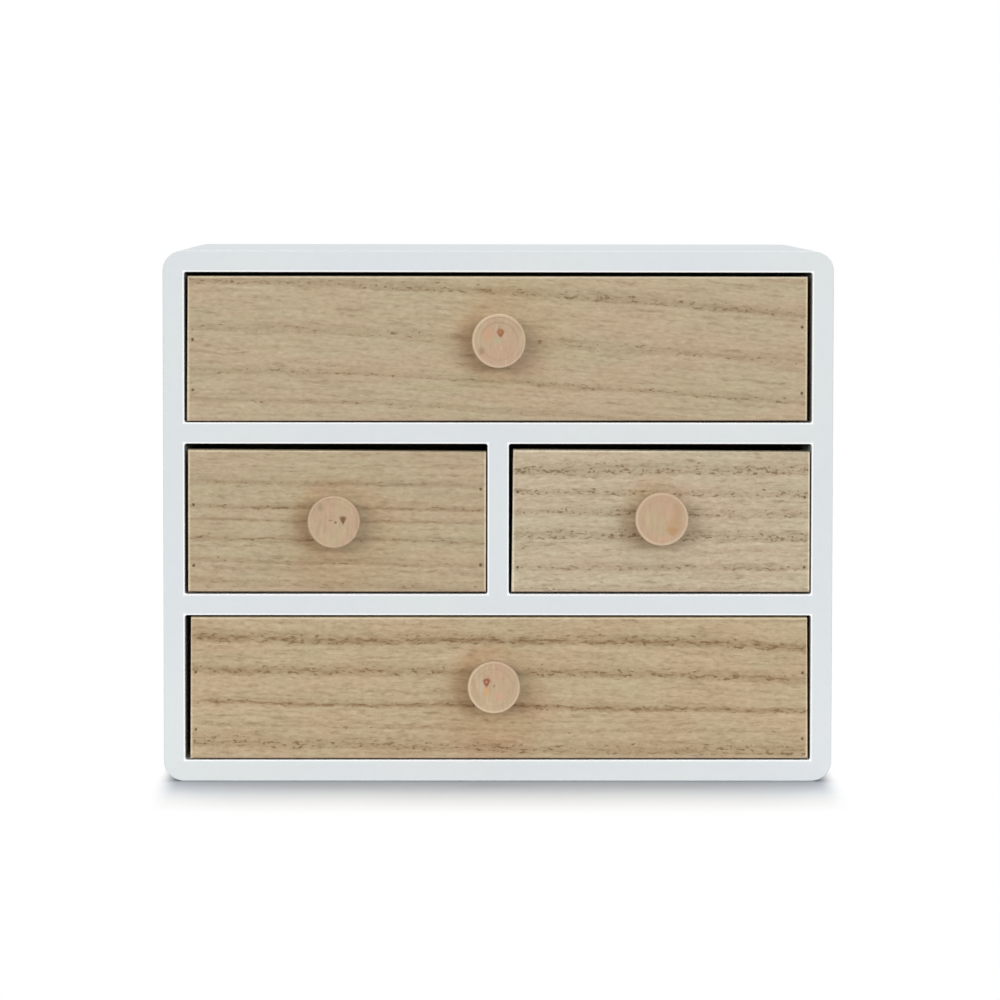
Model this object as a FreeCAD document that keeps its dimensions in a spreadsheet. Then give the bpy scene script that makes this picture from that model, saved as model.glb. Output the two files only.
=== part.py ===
import FreeCAD, Part
import math
import os
import Sketcher

# Driving sizes in millimetres. A name that ends in share is a plain fraction of the size beside it.
SIZES = {
    # The case: its boards and the clear heights of its three rows
    "case_width": 252.0,
    "case_depth": 180.0,
    "board_thickness": 8.0,
    "top_row_height": 56.5,
    "middle_row_height": 56.7,
    "bottom_row_height": 54.8,
    "corner_radius": 7.6,
    "corner_limit_share": 0.98,
    "case_edge_round": 0.8,
    "edge_limit_share": 0.25,
    # The back panel, let into a rebate
    "back_thickness": 3.0,
    "back_recess": 0.8,
    "rebate_width": 4.0,
    "back_play": 0.2,
    # Nails in the case
    "case_nail_diameter": 1.2,
    "case_nail_length": 20.0,
    "case_nail_sink": 2.0,
    "back_nail_diameter": 1.2,
    "back_nail_length": 12.0,
    "back_nail_head_diameter": 2.8,
    "back_nail_head_height": 0.5,
    "nail_play": 0.05,
    # How the drawers fit their bays
    "wide_side_gap": 1.5,
    "half_side_gap": 0.95,
    "front_floor_gap": 0.85,
    "runner_gap": 0.3,
    "top_head_gap": 1.55,
    "middle_head_gap": 2.45,
    "bottom_head_gap": 0.85,
    "front_setback": 0.3,
    "rear_gap": 1.0,
    # How far each drawer sits to the right of its bay's middle
    "top_drawer_shift": -0.3,
    "middle_left_drawer_shift": 0.4,
    "middle_right_drawer_shift": 0.4,
    "bottom_drawer_shift": 0.5,
    # The drawers' boards
    "front_thickness": 8.0,
    "front_edge_round": 0.6,
    "side_thickness": 4.0,
    "side_drop": 3.0,
    "back_drop": 2.0,
    "sheet_thickness": 2.5,
    "sheet_lift": 3.0,
    "groove_depth": 1.6,
    "groove_play": 0.15,
    # Pins in the drawers
    "pin_diameter": 1.1,
    "pin_length": 15.0,
    "pin_sink": 0.6,
    # The turned knob
    "knob_diameter": 20.0,
    "knob_length": 15.0,
    "knob_foot_diameter": 11.0,
    "knob_foot_height": 0.8,
    "knob_under_share": 0.86,
    "knob_under_height_share": 0.55,
    "knob_widest_height_share": 0.72,
    "knob_taper": 0.3,
    "knob_edge_round": 0.5,
    "knob_rim_width": 0.35,
    "knob_rim_height": 0.35,
    "knob_dish_share": 0.68,
    "knob_dish_depth": 0.7,
    # How far each knob sits right of and above its front's middle
    "top_knob_aside": 0.4,
    "top_knob_rise": 3.2,
    "middle_left_knob_aside": -0.9,
    "middle_left_knob_rise": 0.65,
    "middle_right_knob_aside": -0.3,
    "middle_right_knob_rise": 1.75,
    "bottom_knob_aside": -2.1,
    "bottom_knob_rise": 1.6,
    # The screw that holds the knob
    "screw_diameter": 3.0,
    "screw_length": 16.0,
    "screw_point": 2.5,
    "screw_head_diameter": 6.4,
    "screw_head_height": 2.2,
    "screw_brim_share": 0.35,
    "screw_cross_length": 3.8,
    "screw_cross_width": 0.9,
    "screw_cross_depth": 1.2,
    "screw_hole_play": 0.2,
    "pilot_play": 0.05,
    "pilot_end_play": 0.5,
    # How far every cut runs past what it cuts
    "overrun": 1.0,
}

# Where nails stand along a board, as shares of its length
CASE_NAIL_SHARES = (0.12, 0.5, 0.88)
BACK_ROW_SHARES = (0.06, 0.35, 0.65, 0.94)
BACK_SHELF_SHARES = (0.25, 0.75)
BACK_SIDE_SHARES = (0.32, 0.68)
REAR_PIN_SHARES = (0.25, 0.75)
SHEET_PIN_SHARES = (0.2, 0.8)

# Heights of the pins in each front, as shares of the front's height: two at the left end, two at the right
TOP_PIN_SHARES = ((0.21, 0.56), (0.19, 0.65))
MIDDLE_LEFT_PIN_SHARES = ((0.185, 0.615), (0.19, 0.727))
MIDDLE_RIGHT_PIN_SHARES = ((0.174, 0.707), (0.175, 0.67))
BOTTOM_PIN_SHARES = ((0.2, 0.61), (0.135, 0.606))

# How round the arcs of an outline are: the tangent of a quarter of the arc's turn
QUARTER_TURN_SHARE = math.tan(math.pi / 8)
COVE_SHARE = 0.6
SHOULDER_SHARE = 0.35
DISH_STEP_SHARE = 0.2

# Stands in an outline where an arc starts that ends on the turning axis and has its centre there
DOMED = "domed"

# Places nearer than this are one place
SAME_PLACE = 1e-6

# The plane square to each axis, and which way along the axis it faces
PLANES = {"x": ("YZ_Plane", 1), "y": ("XZ_Plane", -1), "z": ("XY_Plane", 1)}

doc = FreeCAD.newDocument("mini_drawers")
sheet = doc.addObject("Spreadsheet::Sheet", "Sizes")
for row, (name, value) in enumerate(SIZES.items(), start=1):
    sheet.set(f"A{row}", name)
    sheet.set(f"B{row}", str(value))
    sheet.setAlias(f"B{row}", name)
doc.recompute()

# Places in the case, worked out from the sizes
LEFT = "(-Sizes.case_width / 2)"
RIGHT = "(Sizes.case_width / 2)"
FRONT = "(-Sizes.case_depth / 2)"
REAR = "(Sizes.case_depth / 2)"
INNER_LEFT = f"({LEFT} + Sizes.board_thickness)"
INNER_RIGHT = f"({RIGHT} - Sizes.board_thickness)"
BOTTOM_FLOOR = "Sizes.board_thickness"
LOWER_SHELF = f"({BOTTOM_FLOOR} + Sizes.bottom_row_height)"
MIDDLE_FLOOR = f"({LOWER_SHELF} + Sizes.board_thickness)"
UPPER_SHELF = f"({MIDDLE_FLOOR} + Sizes.middle_row_height)"
TOP_FLOOR = f"({UPPER_SHELF} + Sizes.board_thickness)"
TOP_BOARD = f"({TOP_FLOOR} + Sizes.top_row_height)"
TOP = f"({TOP_BOARD} + Sizes.board_thickness)"
BACK_REAR = f"({REAR} - Sizes.back_recess)"
BACK_FRONT = f"({BACK_REAR} - Sizes.back_thickness)"
HALF_DIVIDER = "(Sizes.board_thickness / 2)"
CORNER = "min(Sizes.corner_radius; Sizes.corner_limit_share * Sizes.board_thickness)"
CASE_EDGE = "min(Sizes.case_edge_round; Sizes.edge_limit_share * Sizes.board_thickness)"
FRONT_EDGE = "min(Sizes.front_edge_round; Sizes.edge_limit_share * Sizes.front_thickness)"


def number(expression):
    """The present value of an expression on the sheet."""
    return float(sheet.evalExpression(str(expression)))


def bind(thing, target, expression):
    """Binds a property to the sheet. A place at zero is left as it is."""
    if expression != "0":
        thing.setExpression(target, expression)


def new_body(label, at=("0", "0", "0")):
    """A body with its own label, placed where the three expressions say."""
    body = doc.addObject("PartDesign::Body", label)
    body.Label = label
    for axis, place in zip("xyz", at):
        bind(body, f"Placement.Base.{axis}", place)
    return body


def new_sketch(body, axis, level):
    """A sketch square to an axis at a level along it. Its own axes are the other two, in order."""
    role, facing = PLANES[axis]
    sketch = body.newObject("Sketcher::SketchObject", f"{body.Name}_sketch")
    plane = next(item for item in body.Origin.OriginFeatures if item.Role == role)
    sketch.AttachmentSupport = [(plane, "")]
    sketch.MapMode = "FlatFace"
    bind(sketch, "AttachmentOffset.Base.z", level if level == "0" or facing > 0 else f"-{level}")
    return sketch


def fix_point(sketch, curve, point, x, y):
    """Holds one point of a curve at the two expressions."""
    for kind, axis_line, value in (("DistanceX", -2, x), ("DistanceY", -1, y)):
        if value == "0":
            sketch.addConstraint(Sketcher.Constraint("PointOnObject", curve, point, axis_line))
        else:
            place = number(value)
            held = sketch.addConstraint(Sketcher.Constraint(kind, -1, 1, curve, point, place))
            sketch.setExpression(f"Constraints[{held}]", value)


def arc_between(start, end, bulge):
    """The arc from start to end that turns left where its bulge is positive, right where it is negative."""
    chord = end - start
    middle = (start + end) / 2
    leftward = FreeCAD.Vector(-chord.y, chord.x, 0)
    centre = middle + leftward * ((1 - bulge**2) / (4 * bulge))
    first, last = (start, end) if bulge > 0 else (end, start)
    circle = Part.Circle(centre, FreeCAD.Vector(0, 0, 1), (start - centre).Length)
    from_angle = math.atan2(first.y - centre.y, first.x - centre.x)
    to_angle = math.atan2(last.y - centre.y, last.x - centre.x)
    if to_angle < from_angle:
        to_angle += 2 * math.pi
    return Part.ArcOfCircle(circle, from_angle, to_angle)


def draw_outline(sketch, corners):
    """A closed line through the corners. One with a third value starts an arc: of that bulge, or domed."""
    points = [FreeCAD.Vector(number(corner[0]), number(corner[1]), 0) for corner in corners]
    ends = []
    for index, corner in enumerate(corners):
        start, end = points[index], points[(index + 1) % len(points)]
        if len(corner) == 2:
            curve = sketch.addGeometry(Part.LineSegment(start, end), False)
            ends.append((curve, 1, 2))
            continue
        rise = abs(end.y - start.y)
        bulge = math.tan(math.atan2(rise, start.x) / 2) if corner[2] == DOMED else corner[2]
        curve = sketch.addGeometry(arc_between(start, end, bulge), False)
        ends.append((curve, 1, 2) if bulge > 0 else (curve, 2, 1))
    for index, corner in enumerate(corners):
        curve, start, end = ends[index]
        after = (index + 1) % len(corners)
        sketch.addConstraint(Sketcher.Constraint("Coincident", curve, end, ends[after][0], ends[after][1]))
        fix_point(sketch, curve, start, corner[0], corner[1])
        if len(corner) == 3:
            fix_arc(sketch, curve, corner, corners[after])


def fix_arc(sketch, curve, start, end):
    """Holds an arc whose ends are fixed: by its centre on the turning axis, or by its bulge's radius."""
    if start[2] == DOMED:
        sketch.addConstraint(Sketcher.Constraint("PointOnObject", curve, 3, -2))
        return
    slack = (1 + start[2] ** 2) / (4 * abs(start[2]))
    radius = f"hypot({end[0]} - ({start[0]}); {end[1]} - ({start[1]})) * {slack}"
    held = sketch.addConstraint(Sketcher.Constraint("Radius", curve, number(radius)))
    sketch.setExpression(f"Constraints[{held}]", radius)


def draw_circles(sketch, radius, places):
    """Circles of one radius at the places."""
    for x, y in places:
        centre = FreeCAD.Vector(number(x), number(y), 0)
        circle = Part.Circle(centre, FreeCAD.Vector(0, 0, 1), number(radius))
        curve = sketch.addGeometry(circle, False)
        fix_point(sketch, curve, 3, x, y)
        held = sketch.addConstraint(Sketcher.Constraint("Radius", curve, number(radius)))
        sketch.setExpression(f"Constraints[{held}]", radius)


def rectangle(left, low, right, high):
    """The corners of a rectangle."""
    return [(left, low), (right, low), (right, high), (left, high)]


def volume_of(body):
    """A body's volume, zero while it is empty."""
    return 0.0 if body.Shape.isNull() else body.Shape.Volume


def extrude(body, kind, sketch, axis, way, length):
    """A Pad or Pocket from a sketch, along an axis or against it, that has to change the volume."""
    before = volume_of(body)
    feature = body.newObject(f"PartDesign::{kind}", f"{body.Name}_{kind.lower()}")
    feature.Profile = sketch
    facing = PLANES[axis][1]
    feature.Reversed = way != facing if kind == "Pad" else way == facing
    feature.setExpression("Length", length)
    doc.recompute()
    change = volume_of(body) - before
    if (change <= 0) if kind == "Pad" else (change >= 0):
        raise RuntimeError(f"{feature.Name} changes the volume by {change}")
    return feature


def board(label, axis, low, high, corners, at=("0", "0", "0")):
    """A board: an outline square to an axis, as thick or as long as from low to high."""
    body = new_body(label, at)
    sketch = new_sketch(body, axis, low)
    draw_outline(sketch, corners)
    extrude(body, "Pad", sketch, axis, 1, f"{high} - {low}")
    return body


def cut_away(body, axis, low, high, corners):
    """Takes an outline out of a body from low to high along an axis."""
    sketch = new_sketch(body, axis, low)
    draw_outline(sketch, corners)
    extrude(body, "Pocket", sketch, axis, 1, f"{high} - {low}")


def round_edges(body, radius, wanted):
    """Rounds the straight or arched edges that the test wants."""
    base = body.Tip
    names = [f"Edge{n}" for n, edge in enumerate(base.Shape.Edges, start=1) if wanted(edge)]
    rounding = body.newObject("PartDesign::Fillet", f"{body.Name}_rounding")
    rounding.Base = (base, names)
    rounding.setExpression("Radius", radius)
    doc.recompute()


def in_plane(edge, axis, level):
    """Whether both ends of an edge lie at a level along an axis, in the body's own frame."""
    place = number(level)
    return all(abs(getattr(vertex.Point, axis) - place) < SAME_PLACE for vertex in edge.Vertexes)


class Nails:
    """A row of like nails: where they start and which way they run. It drills and fills bodies."""

    def __init__(self, axis, way, start, places, diameter, length, sink="0"):
        self.axis = axis
        self.way = way
        self.start = start
        self.places = places
        self.radius = f"{diameter} / 2"
        self.length = length
        self.sink = sink

    def fill(self, body):
        """Adds the nails' shanks to a body."""
        sketch = new_sketch(body, self.axis, f"({self.start})")
        draw_circles(sketch, self.radius, self.places)
        extrude(body, "Pad", sketch, self.axis, self.way, self.length)

    def drill(self, *bodies):
        """Cuts the nails' holes, open behind by the sink, out of what they pass through."""
        mouth = f"({self.start} {'-' if self.way > 0 else '+'} {self.sink})"
        for body in bodies:
            sketch = new_sketch(body, self.axis, mouth)
            draw_circles(sketch, f"{self.radius} + Sizes.nail_play", self.places)
            extrude(body, "Pocket", sketch, self.axis, self.way, f"{self.length} + {self.sink}")


def shares_between(low, high, shares):
    """Places at the given shares of the way from low to high."""
    return [f"({low} + {share} * ({high} - {low}))" for share in shares]


def panel_outline(inner, outer):
    """A top or bottom panel seen from the front: its two outer corners are rounded."""
    inward = "-" if number(outer) > number(inner) else "+"
    turn = QUARTER_TURN_SHARE if inward == "-" else -QUARTER_TURN_SHARE
    shoulder = f"({outer} {inward} {CORNER})"
    return [
        (LEFT, inner),
        (RIGHT, inner),
        (RIGHT, shoulder, turn),
        (f"({RIGHT} - {CORNER})", outer),
        (f"({LEFT} + {CORNER})", outer, turn),
        (LEFT, shoulder),
    ]


def at_an_end(edge):
    """Whether an edge lies in the plane of the case's front or of its rear."""
    return in_plane(edge, "y", FRONT) or in_plane(edge, "y", REAR)


def flat_panel(label, inner, outer):
    """The top or the bottom panel, with its outer edges eased."""
    body = board(label, "y", FRONT, REAR, panel_outline(inner, outer))
    round_edges(body, CASE_EDGE, lambda edge: at_an_end(edge) and not in_plane(edge, "z", inner))
    return body


def side_panel(label, outer, inner):
    """The left or right side panel, between the top and the bottom panel."""
    body = board(label, "y", FRONT, REAR, rectangle(outer, BOTTOM_FLOOR, inner, TOP_BOARD))
    round_edges(body, CASE_EDGE, lambda edge: at_an_end(edge) and in_plane(edge, "x", outer))
    return body


def cut_rebate(body):
    """Cuts the back panel's seat out of one board of the case."""
    seat = rectangle(
        f"({INNER_LEFT} - Sizes.rebate_width)",
        f"({BOTTOM_FLOOR} - Sizes.rebate_width)",
        f"({INNER_RIGHT} + Sizes.rebate_width)",
        f"({TOP_BOARD} + Sizes.rebate_width)",
    )
    cut_away(body, "y", BACK_FRONT, f"({REAR} + Sizes.overrun)", seat)


def build_case():
    """The painted case: seven boards, the back panel and their nails."""
    top = flat_panel("top_panel", TOP_BOARD, TOP)
    bottom = flat_panel("bottom_panel", BOTTOM_FLOOR, "0")
    left = side_panel("left_side_panel", LEFT, INNER_LEFT)
    right = side_panel("right_side_panel", RIGHT, INNER_RIGHT)
    for body in (top, bottom, left, right):
        cut_rebate(body)

    upper_outline = rectangle(INNER_LEFT, UPPER_SHELF, INNER_RIGHT, TOP_FLOOR)
    upper = board("upper_shelf", "y", FRONT, BACK_FRONT, upper_outline)
    lower_outline = rectangle(INNER_LEFT, LOWER_SHELF, INNER_RIGHT, MIDDLE_FLOOR)
    lower = board("lower_shelf", "y", FRONT, BACK_FRONT, lower_outline)
    divider_outline = rectangle(f"-{HALF_DIVIDER}", MIDDLE_FLOOR, HALF_DIVIDER, UPPER_SHELF)
    divider = board("centre_divider", "y", FRONT, BACK_FRONT, divider_outline)

    reach = "(Sizes.rebate_width - Sizes.back_play)"
    back_left, back_right = f"({INNER_LEFT} - {reach})", f"({INNER_RIGHT} + {reach})"
    back_low, back_high = f"({BOTTOM_FLOOR} - {reach})", f"({TOP_BOARD} + {reach})"
    back_outline = rectangle(back_left, back_low, back_right, back_high)
    back = board("back_panel", "y", BACK_FRONT, BACK_REAR, back_outline)

    depths = shares_between(FRONT, REAR, CASE_NAIL_SHARES)
    half_board = "Sizes.board_thickness / 2"
    side_middles = (f"({LEFT} + {half_board})", f"({RIGHT} - {half_board})")
    shelf_middles = (f"({LOWER_SHELF} + {half_board})", f"({UPPER_SHELF} + {half_board})")
    corner_places = [(x, y) for x in side_middles for y in depths]
    shelf_places = [(y, z) for z in shelf_middles for y in depths]
    divider_places = [("0", y) for y in depths]
    kind = ("Sizes.case_nail_diameter", "Sizes.case_nail_length")
    sink = "Sizes.case_nail_sink"
    rows = (
        (Nails("z", -1, f"({TOP} - {sink})", corner_places, *kind), (top, left, right)),
        (Nails("z", 1, sink, corner_places, *kind), (bottom, left, right)),
        (Nails("x", 1, f"({LEFT} + {sink})", shelf_places, *kind), (left, upper, lower)),
        (Nails("x", -1, f"({RIGHT} - {sink})", shelf_places, *kind), (right, upper, lower)),
        (Nails("z", -1, f"({TOP_FLOOR} - {sink})", divider_places, *kind), (upper, divider)),
        (Nails("z", 1, f"({LOWER_SHELF} + {sink})", divider_places, *kind), (lower, divider)),
    )
    nails = new_body("case_nails")
    for row, boards in rows:
        row.fill(nails)
        row.drill(*boards)

    seam = "(Sizes.rebate_width / 2)"
    seam_low, seam_high = f"({BOTTOM_FLOOR} - {seam})", f"({TOP_BOARD} + {seam})"
    seam_left, seam_right = f"({INNER_LEFT} - {seam})", f"({INNER_RIGHT} + {seam})"
    row_places = shares_between(back_left, back_right, BACK_ROW_SHARES)
    shelf_rows = shares_between(back_left, back_right, BACK_SHELF_SHARES)
    side_rows = shares_between(back_low, back_high, BACK_SIDE_SHARES)
    edge_places = [(x, z) for x in row_places for z in (seam_low, seam_high)]
    edge_places += [(x, z) for x in (seam_left, seam_right) for z in side_rows]
    middle_places = [(x, z) for x in shelf_rows for z in shelf_middles]
    kind = ("Sizes.back_nail_diameter", "Sizes.back_nail_length")
    edge_row = Nails("y", -1, BACK_REAR, edge_places, *kind)
    middle_row = Nails("y", -1, BACK_REAR, middle_places, *kind)
    edge_row.drill(top, bottom, left, right, back)
    middle_row.drill(upper, lower, back)
    back_nails = new_body("back_panel_nails")
    edge_row.fill(back_nails)
    middle_row.fill(back_nails)
    heads = new_sketch(back_nails, "y", BACK_REAR)
    draw_circles(heads, "Sizes.back_nail_head_diameter / 2", edge_places + middle_places)
    extrude(back_nails, "Pad", heads, "y", 1, "Sizes.back_nail_head_height")


def turned(label, corners, at):
    """A piece turned about the y axis: its outline gives radii and places along that axis."""
    body = new_body(label, at)
    sketch = new_sketch(body, "z", "0")
    draw_outline(sketch, corners)
    turning = body.newObject("PartDesign::Revolution", f"{body.Name}_turning")
    turning.Profile = sketch
    turning.ReferenceAxis = (sketch, ["V_Axis"])
    doc.recompute()
    return body


def build_knob(name, at):
    """A turned knob: a foot, a cove up to the wide head, a thin rim and a dished face."""
    radius = "Sizes.knob_diameter / 2"
    pilot = "(Sizes.screw_diameter / 2 + Sizes.pilot_play)"
    pilot_depth = "(Sizes.screw_length - Sizes.front_thickness + Sizes.pilot_end_play)"
    face = f"({radius} - Sizes.knob_taper)"
    rim_outside = f"({face} - Sizes.knob_edge_round)"
    rim_inside = f"({rim_outside} - Sizes.knob_rim_width)"
    turned(
        f"{name}_knob",
        [
            (pilot, "0"),
            ("Sizes.knob_foot_diameter / 2", "0"),
            ("Sizes.knob_foot_diameter / 2", "-Sizes.knob_foot_height", COVE_SHARE),
            (
                f"Sizes.knob_under_share * {radius}",
                "-Sizes.knob_under_height_share * Sizes.knob_length",
                -SHOULDER_SHARE,
            ),
            (radius, "-Sizes.knob_widest_height_share * Sizes.knob_length"),
            (face, "Sizes.knob_edge_round - Sizes.knob_length", -QUARTER_TURN_SHARE),
            (rim_outside, "-Sizes.knob_length"),
            (rim_inside, "-Sizes.knob_length", DISH_STEP_SHARE),
            (f"Sizes.knob_dish_share * {radius}", "Sizes.knob_rim_height - Sizes.knob_length", DOMED),
            ("0", "Sizes.knob_dish_depth - Sizes.knob_length"),
            ("0", f"-{pilot_depth}"),
            (pilot, f"-{pilot_depth}"),
        ],
        at,
    )


def build_screw(name, at):
    """A pan head screw that comes through the front from inside, with a cross in its head."""
    head_top = "(Sizes.front_thickness + Sizes.screw_head_height)"
    tip = "(Sizes.front_thickness - Sizes.screw_length)"
    head_radius = "Sizes.screw_head_diameter / 2"
    brim = "(Sizes.front_thickness + Sizes.screw_brim_share * Sizes.screw_head_height)"
    screw = turned(
        f"{name}_knob_screw",
        [
            ("0", tip),
            ("Sizes.screw_diameter / 2", f"{tip} + Sizes.screw_point"),
            ("Sizes.screw_diameter / 2", "Sizes.front_thickness"),
            (head_radius, "Sizes.front_thickness"),
            (head_radius, brim, DOMED),
            ("0", head_top),
        ],
        at,
    )
    arm, half = "Sizes.screw_cross_length / 2", "Sizes.screw_cross_width / 2"
    corner = [(arm, f"-{half}"), (arm, half), (half, half)]
    cross = []
    for quarter in range(4):
        cross += corner
        corner = [(y[1:] if y.startswith("-") else f"-{y}", x) for x, y in corner]
    cut_away(screw, "y", f"({head_top} - Sizes.screw_cross_depth)", f"({head_top} + Sizes.overrun)", cross)


def build_drawer(name, bay_middle, bay_floor, bay_width, bay_height, side_gap, head_gap, pin_shares):
    """One drawer in its own frame: the middle of the front's face, at the level of the bay's floor."""
    shift = f"Sizes.{name}_drawer_shift"
    aside, rise = f"Sizes.{name}_knob_aside", f"Sizes.{name}_knob_rise"
    at = (f"{bay_middle} + {shift}", f"{FRONT} + Sizes.front_setback", bay_floor)

    right = f"({bay_width} / 2 - {side_gap})"
    left = f"(-{right})"
    inner_right = f"({right} - Sizes.side_thickness)"
    inner_left = f"({left} + Sizes.side_thickness)"
    front_low = "Sizes.front_floor_gap"
    front_high = f"({bay_height} - {head_gap})"
    side_low = "Sizes.runner_gap"
    side_high = f"({front_high} - Sizes.side_drop)"
    rear = f"({BACK_FRONT} - {FRONT} - Sizes.front_setback - Sizes.rear_gap)"
    rear_inside = f"({rear} - Sizes.side_thickness)"
    sheet_low = f"({side_low} + Sizes.sheet_lift)"
    sheet_high = f"({sheet_low} + Sizes.sheet_thickness)"
    groove = f"({sheet_high} + Sizes.groove_play)"
    bite = "(Sizes.groove_depth - Sizes.groove_play)"
    rear_run = f"({rear} + Sizes.overrun)"

    front = board(f"{name}_drawer_front", "y", "0", "Sizes.front_thickness",
                  rectangle(left, front_low, right, front_high), at)
    round_edges(front, FRONT_EDGE, lambda edge: in_plane(edge, "y", "0"))
    left_side = board(f"{name}_drawer_left_side", "y", "Sizes.front_thickness", rear,
                      rectangle(left, side_low, inner_left, side_high), at)
    right_side = board(f"{name}_drawer_right_side", "y", "Sizes.front_thickness", rear,
                       rectangle(inner_right, side_low, right, side_high), at)
    back = board(f"{name}_drawer_back", "y", rear_inside, rear,
                 rectangle(inner_left, sheet_high, inner_right, f"({side_high} - Sizes.back_drop)"), at)
    sheet_left, sheet_right = f"({inner_left} - {bite})", f"({inner_right} + {bite})"
    bottom = board(f"{name}_drawer_bottom", "y", f"(Sizes.front_thickness - {bite})", rear,
                   rectangle(sheet_left, sheet_low, sheet_right, sheet_high), at)

    # The grooves that hold the bottom: along both sides, and behind the front between them
    groove_left = f"({inner_left} - Sizes.groove_depth)"
    groove_right = f"({inner_right} + Sizes.groove_depth)"
    groove_front = "(Sizes.front_thickness - Sizes.groove_depth)"
    slot = rectangle(groove_left, sheet_low, groove_right, groove)
    for piece in (front, left_side, right_side):
        cut_away(piece, "y", groove_front, rear_run, slot)

    # The knob's screw hole
    screw_place = (aside, f"(({front_low} + {front_high}) / 2 + {rise})")
    hole = new_sketch(front, "y", "(-Sizes.overrun)")
    draw_circles(hole, "Sizes.screw_diameter / 2 + Sizes.screw_hole_play", [screw_place])
    extrude(front, "Pocket", hole, "y", 1, "Sizes.front_thickness + 2 * Sizes.overrun")

    # The pins: through the front, through both sides into the back, and up through the bottom into the back
    side_middles = (f"({left} + Sizes.side_thickness / 2)", f"({right} - Sizes.side_thickness / 2)")
    front_places = []
    for x, shares in zip(side_middles, pin_shares):
        front_places += [(x, z) for z in shares_between(front_low, front_high, shares)]
    back_middle = f"({rear} - Sizes.side_thickness / 2)"
    rear_places = [(back_middle, z) for z in shares_between(sheet_high, side_high, REAR_PIN_SHARES)]
    sheet_places = [(x, back_middle) for x in shares_between(left, right, SHEET_PIN_SHARES)]
    kind = ("Sizes.pin_diameter", "Sizes.pin_length", "Sizes.pin_sink")
    rows = (
        (Nails("y", 1, "Sizes.pin_sink", front_places, *kind), (front, left_side, right_side)),
        (Nails("x", 1, f"({left} + Sizes.pin_sink)", rear_places, *kind), (left_side, back)),
        (Nails("x", -1, f"({right} - Sizes.pin_sink)", rear_places, *kind), (right_side, back)),
        (Nails("z", 1, f"({sheet_low} + Sizes.pin_sink)", sheet_places, *kind), (bottom, back)),
    )
    pins = new_body(f"{name}_drawer_pins", at)
    for row, boards in rows:
        row.fill(pins)
        row.drill(*boards)

    knob_at = (f"{at[0]} + {screw_place[0]}", at[1], f"{at[2]} + {screw_place[1]}")
    build_knob(name, knob_at)
    build_screw(name, knob_at)


def build_drawers():
    """The wide drawers at the top and the bottom, and the two half-width ones between them."""
    wide = f"({INNER_RIGHT} - {INNER_LEFT})"
    half = f"({INNER_RIGHT} - {HALF_DIVIDER})"
    half_middle = f"({INNER_RIGHT} + {HALF_DIVIDER}) / 2"
    middle_row = (
        MIDDLE_FLOOR, half, "Sizes.middle_row_height", "Sizes.half_side_gap", "Sizes.middle_head_gap",
    )
    build_drawer("top", "0", TOP_FLOOR, wide, "Sizes.top_row_height", "Sizes.wide_side_gap",
                 "Sizes.top_head_gap", TOP_PIN_SHARES)
    build_drawer("middle_left", f"-{half_middle}", *middle_row, MIDDLE_LEFT_PIN_SHARES)
    build_drawer("middle_right", half_middle, *middle_row, MIDDLE_RIGHT_PIN_SHARES)
    build_drawer("bottom", "0", BOTTOM_FLOOR, wide, "Sizes.bottom_row_height", "Sizes.wide_side_gap",
                 "Sizes.bottom_head_gap", BOTTOM_PIN_SHARES)


def write_parts():
    """Checks every object and every piece, then writes each piece to its own file."""
    failed = [item.Name for item in doc.Objects if {"Invalid", "Error"} & set(item.State)]
    if failed:
        raise RuntimeError(f"failed objects: {failed}")
    bodies = [item for item in doc.Objects if item.TypeId == "PartDesign::Body"]
    for body in bodies:
        if body.Shape.isNull() or not body.Shape.isValid() or not body.Shape.Solids:
            raise RuntimeError(f"{body.Label} has no valid solid")
    os.makedirs("parts", exist_ok=True)
    for body in bodies:
        body.Shape.exportStep(f"parts/{body.Label}.step")
        print(body.Label, len(body.Shape.Solids), "solids", round(body.Shape.Volume, 1), "cubic mm")


build_case()
build_drawers()
doc.recompute()
write_parts()
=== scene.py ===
import math
from functools import partialmethod

import bmesh
import bpy
from bpy.props import FloatProperty, FloatVectorProperty, IntProperty, PointerProperty
from mathutils import Matrix, Vector


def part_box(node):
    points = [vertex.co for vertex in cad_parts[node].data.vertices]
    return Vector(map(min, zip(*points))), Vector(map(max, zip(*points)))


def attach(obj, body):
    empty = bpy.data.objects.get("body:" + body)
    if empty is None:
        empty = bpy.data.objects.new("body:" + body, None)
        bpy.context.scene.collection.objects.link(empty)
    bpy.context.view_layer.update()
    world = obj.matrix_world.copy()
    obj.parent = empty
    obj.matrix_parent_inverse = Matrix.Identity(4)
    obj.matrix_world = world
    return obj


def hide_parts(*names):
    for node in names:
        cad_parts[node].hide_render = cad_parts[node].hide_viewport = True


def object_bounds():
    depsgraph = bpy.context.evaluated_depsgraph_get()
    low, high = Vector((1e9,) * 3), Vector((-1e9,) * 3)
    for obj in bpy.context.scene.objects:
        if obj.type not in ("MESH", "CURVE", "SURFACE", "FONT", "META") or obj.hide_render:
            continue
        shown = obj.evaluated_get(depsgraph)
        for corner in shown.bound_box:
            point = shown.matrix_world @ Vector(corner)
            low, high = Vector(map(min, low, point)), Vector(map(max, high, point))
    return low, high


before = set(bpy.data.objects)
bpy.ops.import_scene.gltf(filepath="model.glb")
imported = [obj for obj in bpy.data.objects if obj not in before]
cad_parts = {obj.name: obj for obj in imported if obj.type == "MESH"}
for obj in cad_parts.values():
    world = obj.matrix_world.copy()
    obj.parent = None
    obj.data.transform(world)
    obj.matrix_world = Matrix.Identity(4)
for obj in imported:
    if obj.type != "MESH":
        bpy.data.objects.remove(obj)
CAD_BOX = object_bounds()
BOX = {node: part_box(node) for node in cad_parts}

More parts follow.
